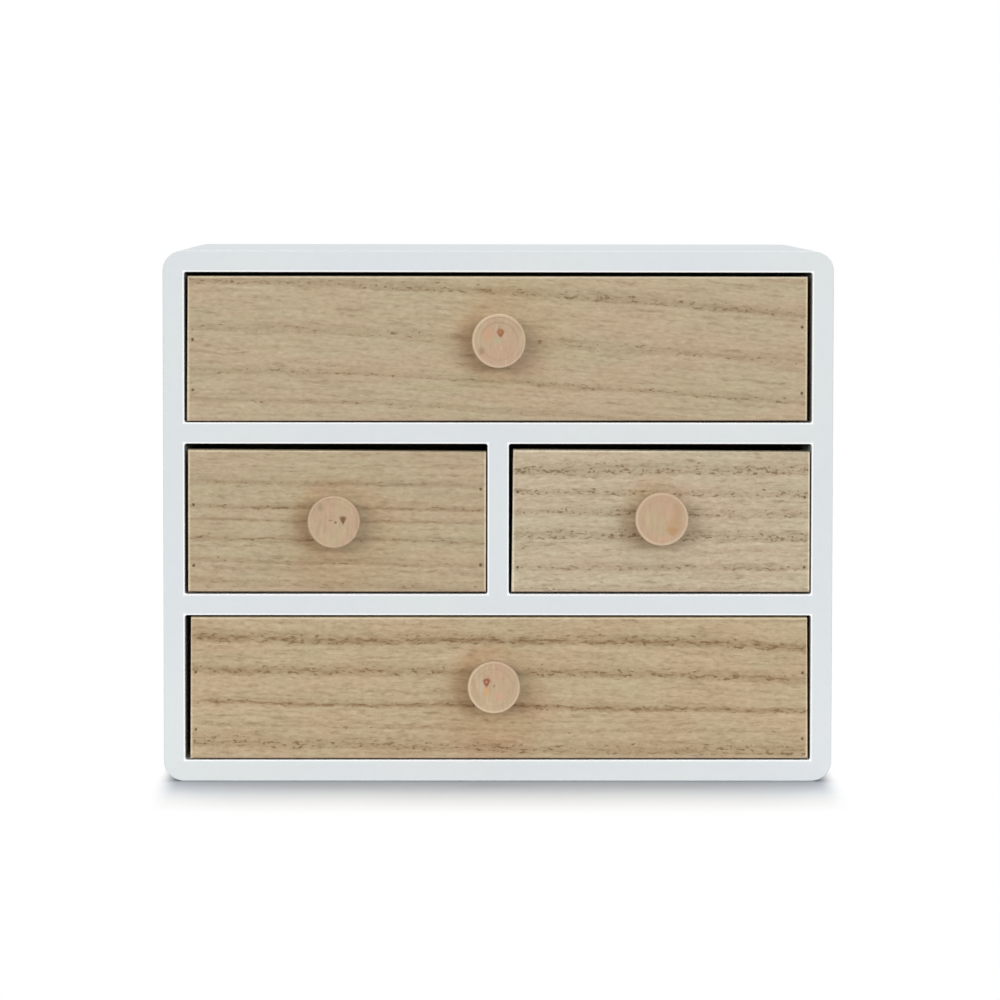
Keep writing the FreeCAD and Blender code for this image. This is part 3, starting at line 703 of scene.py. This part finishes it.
def add_box(shape, low, high):
    """Adds a box to a shape and returns its vertices."""
    low, high = Vector(low), Vector(high)
    verts = bmesh.ops.create_cube(shape, size=1)["verts"]
    bmesh.ops.scale(shape, vec=high - low, verts=verts)
    move(shape, (low + high) / 2, verts)
    return verts


def add_cone(shape, middle, start, end, mouth, bottom):
    """Adds a round cutter along y, from its mouth's radius at the start to its bottom's at the end."""
    cone = bmesh.ops.create_cone(
        shape, cap_ends=True, segments=20, radius1=bottom, radius2=mouth, depth=end - start
    )["verts"]
    bmesh.ops.rotate(shape, verts=cone, cent=(0, 0, 0), matrix=Y_DOWN)
    move(shape, (middle.x, (start + end) / 2, middle.z), cone)


def bevel(shape, items, radius, segments, affect="EDGES"):
    bmesh.ops.bevel(
        shape, geom=items, offset=radius, offset_type="OFFSET", affect=affect, segments=segments,
        profile=0.5, material=-1,
    )


def lies_at(item, level):
    """Whether an edge or a face lies in the plane at that level of y."""
    return all(abs(vert.co.y - level) < TINY for vert in item.verts)


def sharp_edges(shape, *levels):
    """The sharp edges that lie in the planes at those levels of y."""
    sharp = [edge for edge in shape.edges if edge.is_manifold and edge.calc_face_angle() > 1]
    return [edge for edge in sharp if any(lies_at(edge, level) for level in levels)]


def cut_at(shape, items, axis, level):
    """Cuts through items of a shape at a level of an axis, and keeps both sides."""
    normal = Vector([float(axis == name) for name in "xyz"])
    bmesh.ops.bisect_plane(shape, geom=items, plane_co=normal * level, plane_no=normal, dist=TINY * 0.1)


def carved(shape, cutter):
    """The mesh that is left of a shape when another is cut out of it."""
    things = []
    for part in (shape, cutter):
        bmesh.ops.recalc_face_normals(part, faces=part.faces)
        things.append(add_object("carving", as_mesh(part, "carving")))
    cut = things[0].modifiers.new("cut", "BOOLEAN")
    cut.operation = "DIFFERENCE"
    cut.solver = "EXACT"
    cut.object = things[1]
    bpy.context.view_layer.update()
    left = bpy.data.meshes.new_from_object(things[0].evaluated_get(bpy.context.evaluated_depsgraph_get()))
    for thing in things:
        mesh = thing.data
        bpy.data.objects.remove(thing)
        bpy.data.meshes.remove(mesh)
    return left


def draw_line(shape, points):
    """Adds a line of (radius, y) points, and returns its vertices."""
    verts = [shape.verts.new((radius, level, 0)) for radius, level in points]
    for first, second in zip(verts, verts[1:]):
        shape.edges.new((first, second))
    return verts


def spin(shape, turns, steps, pitch=0):
    """Turns a shape's lines about y. They close on themselves if they don't climb."""
    bmesh.ops.spin(
        shape, geom=shape.verts[:] + shape.edges[:], cent=(0, 0, 0), axis=(0, 1, 0),
        dvec=(0, pitch / steps, 0), angle=math.tau * turns, steps=steps * turns, use_merge=not pitch,
    )


def spun(points, rounding, steps, place):
    """A line of (radius, y) points turned about y, and moved to a place.

    The rounding gives some of the points a (radius, segments).
    """
    shape = bmesh.new()
    verts = draw_line(shape, points)
    for index, (radius, segments) in rounding.items():
        bevel(shape, [verts[index]], radius, segments, "VERTICES")
    spin(shape, 1, steps)
    mend(shape, TINY)
    move(shape, place)
    return shape


def solids_of(node):
    """The lowest and highest corner of each separate solid in a CAD node."""
    shape = bmesh.new()
    shape.from_mesh(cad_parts[node].data)
    bmesh.ops.remove_doubles(shape, verts=shape.verts, dist=TINY)
    left = set(shape.verts)
    corners = []
    while left:
        reached = [left.pop()]
        for vert in reached:
            near = {edge.other_vert(vert) for edge in vert.link_edges} & left
            left -= near
            reached.extend(near)
        axes = list(zip(*(vert.co for vert in reached)))
        corners.append((Vector(map(min, axes)), Vector(map(max, axes))))
    shape.free()
    return sorted(corners, key=lambda pair: tuple(pair[0]))


# The case

OUTER_CORNER = (CASE_HIGH.z - BOX["top_panel"][0].z) * 0.95
OUTER_SEGMENTS = 16
OPENING_SEGMENTS = 5
# The room round the back panel in its seat
SEAT_PLAY = 0.2 * MM


def case_openings():
    """The four openings at the front, as (x, z) corners, between the case's boards."""
    (left, right), (floor, roof) = INNER_X, INNER_Z
    upper, lower, divider = BOX["upper_shelf"], BOX["lower_shelf"], BOX["centre_divider"]
    return (
        ((left, upper[1].z), (right, roof)),
        ((left, lower[1].z), (divider[0].x, upper[0].z)),
        ((divider[1].x, lower[1].z), (right, upper[0].z)),
        ((left, floor), (right, lower[0].z)),
    )


def rounded_outline(shape, low, high, radius, segments):
    """Adds a rounded rectangle in the plane of the case's front, from (x, z) low to high."""
    verts = bmesh.ops.create_grid(shape, x_segments=1, y_segments=1, size=0.5)["verts"]
    for vert in verts:
        x, z = (high[i] if vert.co[i] > 0 else low[i] for i in (0, 1))
        vert.co = (x, CASE_LOW.y, z)
    bevel(shape, verts, radius, segments, "VERTICES")


def push_faces(shape, faces, distance):
    """Extrudes faces along y, and leaves none of them behind inside the shape."""
    chosen = set(faces)
    hidden = any(set(edge.link_faces) - chosen for face in faces for edge in face.edges)
    grown = bmesh.ops.extrude_face_region(shape, geom=faces)["geom"]
    move(shape, (0, distance, 0), [item for item in grown if isinstance(item, bmesh.types.BMVert)])
    if hidden:
        bmesh.ops.delete(shape, geom=faces, context="FACES")


def faces_round_seat(shape, seat):
    """Cuts the back panel's outline into the faces at its seat, and gives the faces round it."""
    play = Vector((SEAT_PLAY,) * 3)
    low, high = BOX["back_panel"][0] - play, BOX["back_panel"][1] + play
    for axis, level in (("x", low.x), ("x", high.x), ("z", low.z), ("z", high.z)):
        rear = [face for face in shape.faces if lies_at(face, seat)]
        touched = dict.fromkeys(item for face in rear for item in (face, *face.edges, *face.verts))
        cut_at(shape, list(touched), axis, level)
    ring = []
    for face in shape.faces:
        middle = face.calc_center_median()
        inside = low.x < middle.x < high.x and low.z < middle.z < high.z
        if lies_at(face, seat) and not inside:
            ring.append(face)
    return ring


def is_outside(edge):
    """Whether an edge at the case's front or rear is on its outline, not round an opening or the seat."""
    middle = (edge.verts[0].co + edge.verts[1].co) / 2 - (CASE_LOW + CASE_HIGH) / 2
    reach = (CASE_HIGH - CASE_LOW) / 2
    aside, up = reach.x - abs(middle.x), reach.z - abs(middle.z)
    if max(aside, up) < OUTER_CORNER:
        return math.hypot(OUTER_CORNER - aside, OUTER_CORNER - up) > OUTER_CORNER * 0.9
    return min(aside, up) < TINY


def case_shell(settings):
    """The whole case in one shape, with soft edges, paint-filled corners and the back panel's seat."""
    shape = bmesh.new()
    rounded_outline(shape, CASE_LOW.xz, CASE_HIGH.xz, OUTER_CORNER, OUTER_SEGMENTS)
    for low, high in case_openings():
        rounded_outline(shape, low, high, settings.opening_corner, OPENING_SEGMENTS)
    bmesh.ops.delete(shape, geom=shape.faces[:], context="FACES_ONLY")
    bmesh.ops.triangle_fill(shape, use_beauty=True, edges=shape.edges[:], normal=(0, -1, 0))
    seat = BOX["back_panel"][0].y
    push_faces(shape, shape.faces[:], seat - CASE_LOW.y)
    push_faces(shape, faces_round_seat(shape, seat), CASE_HIGH.y - seat)
    bmesh.ops.recalc_face_normals(shape, faces=shape.faces)
    outline = [edge for edge in sharp_edges(shape, CASE_LOW.y, CASE_HIGH.y) if is_outside(edge)]
    bevel(shape, outline, settings.outer_edge, 4)
    openings = [edge for edge in sharp_edges(shape, CASE_LOW.y) if not is_outside(edge)]
    bevel(shape, openings, settings.opening_edge, 3)
    return shape


def board_at(place, fillet):
    """Which board a place on the case's surface belongs to. A corner's fillet goes with the level board."""
    if place.z < INNER_Z[0] + fillet:
        return "bottom_panel"
    if place.z > INNER_Z[1] - fillet:
        return "top_panel"
    if place.x <= INNER_X[0] + TINY:
        return "left_side_panel"
    if place.x >= INNER_X[1] - TINY:
        return "right_side_panel"
    for name in SHELVES:
        if BOX[name][0].z - fillet < place.z < BOX[name][1].z + fillet:
            return name
    return "centre_divider"


def build_case(settings, material):
    """Cuts the shell at its joints and closes each board."""
    fillet = settings.opening_corner
    shell = case_shell(settings)
    levels = [INNER_Z[0] + fillet, INNER_Z[1] - fillet]
    for name in SHELVES:
        levels += [BOX[name][0].z - fillet, BOX[name][1].z + fillet]
    for axis, level in [("z", level) for level in levels] + [("x", level) for level in INNER_X]:
        cut_at(shell, shell.verts[:] + shell.edges[:] + shell.faces[:], axis, level)
    for name in CASE_BOARDS:
        board = shell.copy()
        others = [face for face in board.faces if board_at(face.calc_center_median(), fillet) != name]
        bmesh.ops.delete(board, geom=others, context="FACES")
        close_holes(board)
        add_piece(f"{name}_painted", board, material, "case", "white_paint", name)
    shell.free()


def eased_box(node, edge):
    """A CAD board's box with its edges eased."""
    shape = bmesh.new()
    add_box(shape, *BOX[node])
    bevel(shape, shape.edges[:], edge, 2)
    return shape


class MINIDRAWERS_OT_case(bpy.types.Operator):
    """Build the seven painted boards and the back panel"""

    bl_idname = "mini_drawers.case"
    bl_label = "Painted case"

    def execute(self, context):
        settings = context.scene.mini_drawers_case
        paint = paint_finish(settings)
        build_case(settings, paint)
        panel = eased_box("back_panel", settings.opening_edge)
        add_piece("back_panel_painted", panel, paint, "case", "white_paint", "back_panel")
        return {"FINISHED"}


# Nails, pins and screws


def nail_shape(low, high, head_height, steps):
    """A nail along y whose domed head is at its high end."""
    length, head = high.y - low.y, (high.x - low.x) / 2
    shank = head * 0.43
    points = [
        (0, 0), (shank, shank * 2.2), (shank, length - head_height), (head * 0.94, length - head_height),
        (head, length - head_height * 0.7), (head * 0.72, length - head_height * 0.15), (0, length),
    ]
    rounding = {4: (head_height * 0.2, 2), 5: (head * 0.2, 3)}
    return spun(points, rounding, steps, on_axis(low, high, low.y))


class MINIDRAWERS_OT_nails(bpy.types.Operator):
    """Build the back panel's nails and give the hidden nails and pins their steel"""

    bl_idname = "mini_drawers.nails"
    bl_label = "Nails and pins"

    def execute(self, context):
        settings = context.scene.mini_drawers_steel
        bright = steel_finish("bright_steel", settings.bright, 0.34)
        dull = steel_finish("dull_steel", settings.dull, 0.55)
        panel_rear = BOX["back_panel"][1].y
        nails = bmesh.new()
        for low, high in solids_of("back_panel_nails"):
            take_in(nails, as_mesh(nail_shape(low, high, high.y - panel_rear, settings.steps), "nail"))
        add_piece("back_nails_headed", nails, bright, "case", "steel", "back_panel_nails")
        steels = {"case_nails": bright} | {f"{name}_drawer_pins": dull for name in DRAWERS}
        for node, material in steels.items():
            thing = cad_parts[node]
            thing.data.materials.clear()
            thing.data.materials.append(material)
        return {"FINISHED"}


# A screw's core and the crest of its thread, against its head's radius
SCREW_CORE_SHARE = 0.37
SCREW_CREST_SHARE = 0.465
THREAD_STEPS = 20


def screw_body(low, high, settings, face):
    """A pan head screw along y, with a cross in its head, which sits at the high end on the face."""
    head = (high.x - low.x) / 2
    core = head * SCREW_CORE_SHARE
    points = [
        (0, low.y), (core, low.y + core * 2), (core, face), (head * 0.95, face),
        (head, face + head * 0.16), (head * 0.8, high.y - head * 0.12), (head * 0.3, high.y), (0, high.y),
    ]
    rounding = {3: (head * 0.05, 2), 4: (head * 0.12, 3), 5: (head * 0.25, 4)}
    middle = on_axis(low, high, 0)
    body = spun(points, rounding, settings.steps, middle)
    cross = bmesh.new()
    arm, half, bottom = head * 0.6, head * 0.14, face + (high.y - face) * 0.45
    top = bottom + (high.y - face) * 2
    add_box(cross, (-arm, bottom, -half), (arm, top, half))
    add_box(cross, (-half, bottom, -arm), (half, top, arm))
    move(cross, middle)
    return carved(body, cross)


def screw_thread(low, high, settings, face):
    """The thread that winds round the screw's core."""
    head = (high.x - low.x) / 2
    core, crest = head * SCREW_CORE_SHARE, head * SCREW_CREST_SHARE
    pitch = settings.thread_pitch
    start = low.y + core * 1.2
    turns = int((face - start) / pitch) - 1
    root = core * 0.9
    thread = bmesh.new()
    points = [(root, start), (crest, start + pitch * 0.25), (root, start + pitch * 0.5)]
    corners = draw_line(thread, points)
    thread.edges.new((corners[-1], corners[0]))
    spin(thread, turns, THREAD_STEPS, pitch)
    close_holes(thread)
    move(thread, on_axis(low, high, 0))
    bmesh.ops.recalc_face_normals(thread, faces=thread.faces)
    return as_mesh(thread, "thread")


class MINIDRAWERS_OT_screws(bpy.types.Operator):
    """Build the four screws that hold the knobs"""

    bl_idname = "mini_drawers.screws"
    bl_label = "Knob screws"

    def execute(self, context):
        settings = context.scene.mini_drawers_steel
        material = steel_finish("screw_steel", settings.bright, 0.28)
        for name in DRAWERS:
            node = f"{name}_knob_screw"
            face = BOX[f"{name}_drawer_front"][1].y
            screw = bmesh.new()
            for shape in (screw_body, screw_thread):
                take_in(screw, shape(*BOX[node], settings, face))
            add_piece(f"{name}_screw_turned", screw, material, f"{name}_drawer", "steel", node)
        return {"FINISHED"}


# The drawers

# How far each front is out of true: how its corners are moved (right, up) in millimetres, the lower pair
# first, each pair from left to right
OUT_OF_TRUE = {
    "top": ((-0.25, -0.35), (0.0, 0.0), (0.2, 0.0), (0.0, -0.05)),
    "middle_left": ((-0.1, 0.0), (0.0, 0.0), (0.0, 0.1), (0.0, -0.6)),
    "middle_right": ((-0.3, 0.0), (0.0, 0.0), (0.35, 0.15), (-0.1, -0.55)),
    "bottom": ((-0.05, -0.3), (0.1, -0.3), (0.3, 0.0), (-0.35, 0.0)),
}


def pins_through(name):
    """The middle of the outer end of each pin that goes through a drawer's front."""
    front = BOX[f"{name}_drawer_front"][0].y
    ends = []
    for low, high in solids_of(f"{name}_drawer_pins"):
        if low.y < front + 1 * MM and high.y - low.y > high.x - low.x:
            ends.append(on_axis(low, high, low.y))
    return ends


def set_out_of_true(mesh, name):
    """Moves a front's corners a little, and all between them in proportion."""
    low, high = BOX[f"{name}_drawer_front"]
    for vert in mesh.vertices:
        right, up = (vert.co.x - low.x) / (high.x - low.x), (vert.co.z - low.z) / (high.z - low.z)
        shares = ((1 - right) * (1 - up), right * (1 - up), (1 - right) * up, right * up)
        for share, (aside, raised) in zip(shares, OUT_OF_TRUE[name]):
            vert.co += Vector((aside, 0, raised)) * (share * MM)


def front_shape(name, boards):
    """A drawer's front: its edges eased, a groove, the screw's hole and a small crater over each pin."""
    low, high = BOX[f"{name}_drawer_front"]
    shape = bmesh.new()
    add_box(shape, low, high)
    bevel(shape, sharp_edges(shape, low.y), boards.front_edge, 4)
    bevel(shape, sharp_edges(shape, high.y), boards.board_edge, 2)

    cutter = bmesh.new()
    sheet_low, sheet_high = BOX[f"{name}_drawer_bottom"]
    add_box(cutter, sheet_low, (sheet_high.x, high.y + PAST, sheet_high.z))
    screw_low, screw_high = BOX[f"{name}_knob_screw"]
    shank = (screw_high.x - screw_low.x) * 0.25
    add_cone(cutter, on_axis(screw_low, screw_high, 0), low.y - PAST, high.y + PAST, shank, shank)
    for pin in pins_through(name):
        end = (low.y + pin.y) / 2
        add_cone(cutter, pin, low.y - 0.1 * MM, end, boards.pin_hole, boards.pin_hole * 0.8)
    mesh = carved(shape, cutter)
    set_out_of_true(mesh, name)
    return mesh


def side_shape(name, side, boards):
    """A drawer's side with the bottom's groove along it."""
    node = f"{name}_drawer_{side}"
    low, high = BOX[node]
    sheet_low, sheet_high = BOX[f"{name}_drawer_bottom"]
    cutter = bmesh.new()
    add_box(cutter, (sheet_low.x, low.y - PAST, sheet_low.z), (sheet_high.x, high.y + PAST, sheet_high.z))
    return carved(eased_box(node, boards.board_edge), cutter)


class MINIDRAWERS_OT_drawers(bpy.types.Operator):
    """Build the four drawers' fronts, sides, backs and bottoms"""

    bl_idname = "mini_drawers.drawers"
    bl_label = "Drawers"

    def execute(self, context):
        boards = context.scene.mini_drawers_boards
        for name in DRAWERS:
            body, seed = f"{name}_drawer", GRAIN[name]["seed"]
            node = f"{body}_front"
            middle = on_axis(*BOX[node], 0)
            places = (on_axis(*BOX[f"{name}_knob"], 0), *pins_through(name))
            knob, *pins = [((place - middle) / MM).xz for place in places]
            wood = wood_finish(f"{name}_front_wood", *BOX[node], "xzy", GRAIN[name], boards, (knob, pins))
            add_piece(f"{node}_board", front_shape(name, boards), wood, body, "drawer_wood", node)
            others = (
                ("left_side", "yzx", 101, side_shape(name, "left_side", boards)),
                ("right_side", "yzx", 211, side_shape(name, "right_side", boards)),
                ("back", "xzy", 307, eased_box(f"{body}_back", boards.board_edge)),
            )
            for part, axes, shift, shape in others:
                node = f"{body}_{part}"
                grain = PLAIN_GRAIN | {"seed": seed + shift}
                wood = wood_finish(f"{name}_{part}_wood", *BOX[node], axes, grain, boards)
                add_piece(f"{node}_board", shape, wood, body, "drawer_wood", node)
            node = f"{body}_bottom"
            ply = sheet_finish(f"{name}_sheet", *BOX[node], boards, seed + 401)
            shape = eased_box(node, boards.board_edge * 0.5)
            add_piece(f"{node}_sheet", shape, ply, body, "drawer_sheet", node)
        return {"FINISHED"}


# The knobs

# How deep each knob's face is dished and how wide the knob is, against the outline below
KNOB_SIZES = {"top": (1, 1.025), "middle_left": (0.5, 1), "middle_right": (0.4, 1.015), "bottom": (0.5, 1)}
# The knob's outline from the screw's hole round the foot, the neck and the head to the middle of the face:
# radius and place as shares of the knob's radius and length. What lies past the face's share is dished.
KNOB_OUTLINE_SHARES = (
    (0, 0.567), (0.155, 0.567), (0.155, 0), (0.55, 0), (0.55, 0.053), (0.42, 0.34), (0.84, 0.52),
    (1.0, 0.71), (0.972, 1.0), (0.885, 1.0), (0.86, 0.982), (0.69, 0.977), (0.65, 0.968), (0, 0.953),
)
KNOB_FACE_SHARE = 0.9
# The corners that are rounded: by what share of the knob's radius, and in how many segments
KNOB_ROUNDING_SHARES = {
    4: (0.02, 2), 5: (0.27, 10), 6: (0.1, 4), 7: (0.12, 5), 8: (0.045, 5), 9: (0.012, 2), 10: (0.012, 2),
    11: (0.02, 2), 12: (0.03, 2),
}


def knob_shape(name, low, high, steps):
    """A turned knob along y, with its face at the low end."""
    radius, length = (high.x - low.x) / 2, high.y - low.y
    dish, wide = KNOB_SIZES[name]
    points = []
    for across, along in KNOB_OUTLINE_SHARES:
        if along > KNOB_FACE_SHARE:
            along = 1 - (1 - along) * dish
        points.append((across * radius * wide, -along * length))
    rounding = {index: (share * radius, count) for index, (share, count) in KNOB_ROUNDING_SHARES.items()}
    return spun(points, rounding, steps, on_axis(low, high, high.y))


class MINIDRAWERS_OT_knobs(bpy.types.Operator):
    """Turn the four knobs"""

    bl_idname = "mini_drawers.knobs"
    bl_label = "Knobs"

    def execute(self, context):
        settings = context.scene.mini_drawers_knobs
        for name in DRAWERS:
            node = f"{name}_knob"
            shape = knob_shape(name, *BOX[node], settings.steps)
            material = knob_finish(name, *BOX[node], settings)
            add_piece(f"{node}_turned", shape, material, f"{name}_drawer", "knob_wood", node)
        return {"FINISHED"}


# The studio

# The floor reaches this many metres to each side
FLOOR_REACH = 4
# The lamps' sizes and places. A front lamp stands on either side.
FRONT_LAMP_SIZE = (1.4, 0.5)
FRONT_LAMP_PLACE = (0.8, -2.25, 0.56)
TOP_LAMP_SIZE = (1.2, 1.28)
TOP_LAMP_PLACE = (0, 0.6, 2.6)
# The floor's colour as the camera sees it from the case outwards, darker and cooler at the case's foot as
# a painted shadow over the lamps' own: the distance in decimetres, and the colour there
FLOOR_PAINTED_SHADOW_TONES = (
    (0.0, (0.36, 0.39, 0.43)), (0.06, (0.628, 0.683, 0.746)), (0.2, (0.763, 0.82, 0.905)),
    (0.41, (0.915, 0.965, 1.0)), (0.6, (0.975, 0.99, 1.0)),
)
# Where the floor turns plain white, in millimetres past the case's sides and past its front or rear
WHITE_ASIDE = (-6, 3)
WHITE_AHEAD = (60, 140)
# How much light the floor gives back to the object, near it and further out, and where that changes
NEAR_BOUNCE = 0.6
FAR_BOUNCE = 0.25
BOUNCE_AHEAD = (60, 120)


def floor_finish():
    """A floor that keeps the lamps' shadow in front of the case and behind it, deepened there by a painted
    shadow, and is plain white further out.
    """
    floor = Finish("studio_floor")
    x, y, _ = floor.parts(floor.place((0, 0, 0)))
    aside = x.size() - CASE_HIGH.x / MM
    ahead = y.size() - CASE_HIGH.y / MM
    plain = aside.rise(*WHITE_ASIDE).most(ahead.rise(*WHITE_AHEAD))
    camera_ray = floor.add("ShaderNodeLightPath", output="Is Camera Ray")
    # Seen by the camera, the floor is painted darker and cooler towards the case: a painted shadow
    seen_with_painted_shadow = floor.ramp(ahead / 100, FLOOR_PAINTED_SHADOW_TONES)
    bounce = floor.mix(ahead.rise(*BOUNCE_AHEAD), (NEAR_BOUNCE,) * 3, (FAR_BOUNCE,) * 3)
    cloth = floor.add("ShaderNodeBsdfDiffuse", inputs={"Color": floor.mix(camera_ray, bounce, seen_with_painted_shadow)})
    white = floor.glow("Emission", 1.0)
    return floor.closed(floor.blend(plain * camera_ray, cloth, white))


def daylight_world(strength):
    """Even daylight. The camera sees plain white."""
    world = Finish("studio_daylight", "worlds")
    camera_ray = world.add("ShaderNodeLightPath", output="Is Camera Ray")
    light, white = (world.glow("Background", power) for power in (strength, 1.0))
    return world.closed(world.blend(camera_ray, light, white), "World")


def add_lamp(name, power, size, place, target):
    """Adds a rectangular lamp that shines from its place towards a target."""
    data = bpy.data.lights.new(name, "AREA")
    data.shape = "RECTANGLE"
    data.size, data.size_y = size
    data.energy = power
    lamp = add_object(name, data)
    lamp.location = place
    lamp.rotation_euler = (Vector(target) - Vector(place)).to_track_quat("-Z", "Y").to_euler()


def add_camera(settings):
    """Adds the camera that took the photo, as far as the photo shows where it stood."""
    data = bpy.data.cameras.new("camera")
    data.sensor_width = 36
    data.lens = settings.lens
    data.shift_y = settings.shift
    camera = add_object("camera", data)
    camera.location = settings.camera_place
    turn = Matrix.Rotation(-settings.camera_yaw, 3, "Z")
    tilt = Matrix.Rotation(math.pi / 2 - settings.camera_pitch, 3, "X")
    camera.rotation_euler = (turn @ tilt @ Matrix.Rotation(settings.camera_roll, 3, "Z")).to_euler()
    return camera


class MINIDRAWERS_OT_studio(bpy.types.Operator):
    """Build the floor, the lamps and the camera"""

    bl_idname = "mini_drawers.studio"
    bl_label = "Studio"

    def execute(self, context):
        settings = context.scene.mini_drawers_studio
        shape = bmesh.new()
        bmesh.ops.create_grid(shape, x_segments=1, y_segments=1, size=FLOOR_REACH)
        mesh = as_mesh(shape, "studio_floor")
        mesh.materials.append(floor_finish())
        floor = add_object("studio_floor", mesh)
        context.scene.world = daylight_world(settings.daylight)
        middle = (CAD_BOX[0] + CAD_BOX[1]) / 2
        x, y, z = FRONT_LAMP_PLACE
        for side in (-1, 1):
            add_lamp("front_lamp", settings.front_power / 2, FRONT_LAMP_SIZE, (x * side, y, z), middle)
        x, y, _ = TOP_LAMP_PLACE
        add_lamp("top_lamp", settings.top_power, TOP_LAMP_SIZE, TOP_LAMP_PLACE, (x, y, 0))
        context.scene.camera = add_camera(settings)
        context.scene.view_settings.view_transform = "Standard"
        return {"FINISHED"}


# The add-on


OPERATORS = (
    MINIDRAWERS_OT_case,
    MINIDRAWERS_OT_nails,
    MINIDRAWERS_OT_screws,
    MINIDRAWERS_OT_drawers,
    MINIDRAWERS_OT_knobs,
    MINIDRAWERS_OT_studio,
)


class MINIDRAWERS_PT_panel(bpy.types.Panel):
    """Lists the builders and their settings"""

    bl_idname = "MINIDRAWERS_PT_panel"
    bl_label = "Mini drawers"
    bl_space_type = "VIEW_3D"
    bl_region_type = "UI"
    bl_category = "Mini drawers"

    def draw(self, context):
        for operator in OPERATORS:
            self.layout.operator(operator.bl_idname)
        for attribute, group in SETTINGS.items():
            box = self.layout.box()
            box.label(text=group.__doc__)
            for name in group.__annotations__:
                box.prop(getattr(context.scene, attribute), name)


CLASSES = (*SETTINGS.values(), *OPERATORS, MINIDRAWERS_PT_panel)


def register():
    for cls in CLASSES:
        bpy.utils.register_class(cls)
    for attribute, group in SETTINGS.items():
        setattr(bpy.types.Scene, attribute, PointerProperty(type=group))


def unregister():
    for attribute in SETTINGS:
        delattr(bpy.types.Scene, attribute)
    for cls in reversed(CLASSES):
        bpy.utils.unregister_class(cls)


def main():
    """Registers the add-on and runs its builders in order."""
    register()
    for operator in OPERATORS:
        group, name = operator.bl_idname.split(".")
        getattr(getattr(bpy.ops, group), name)()


if __name__ == "__main__":
    main()
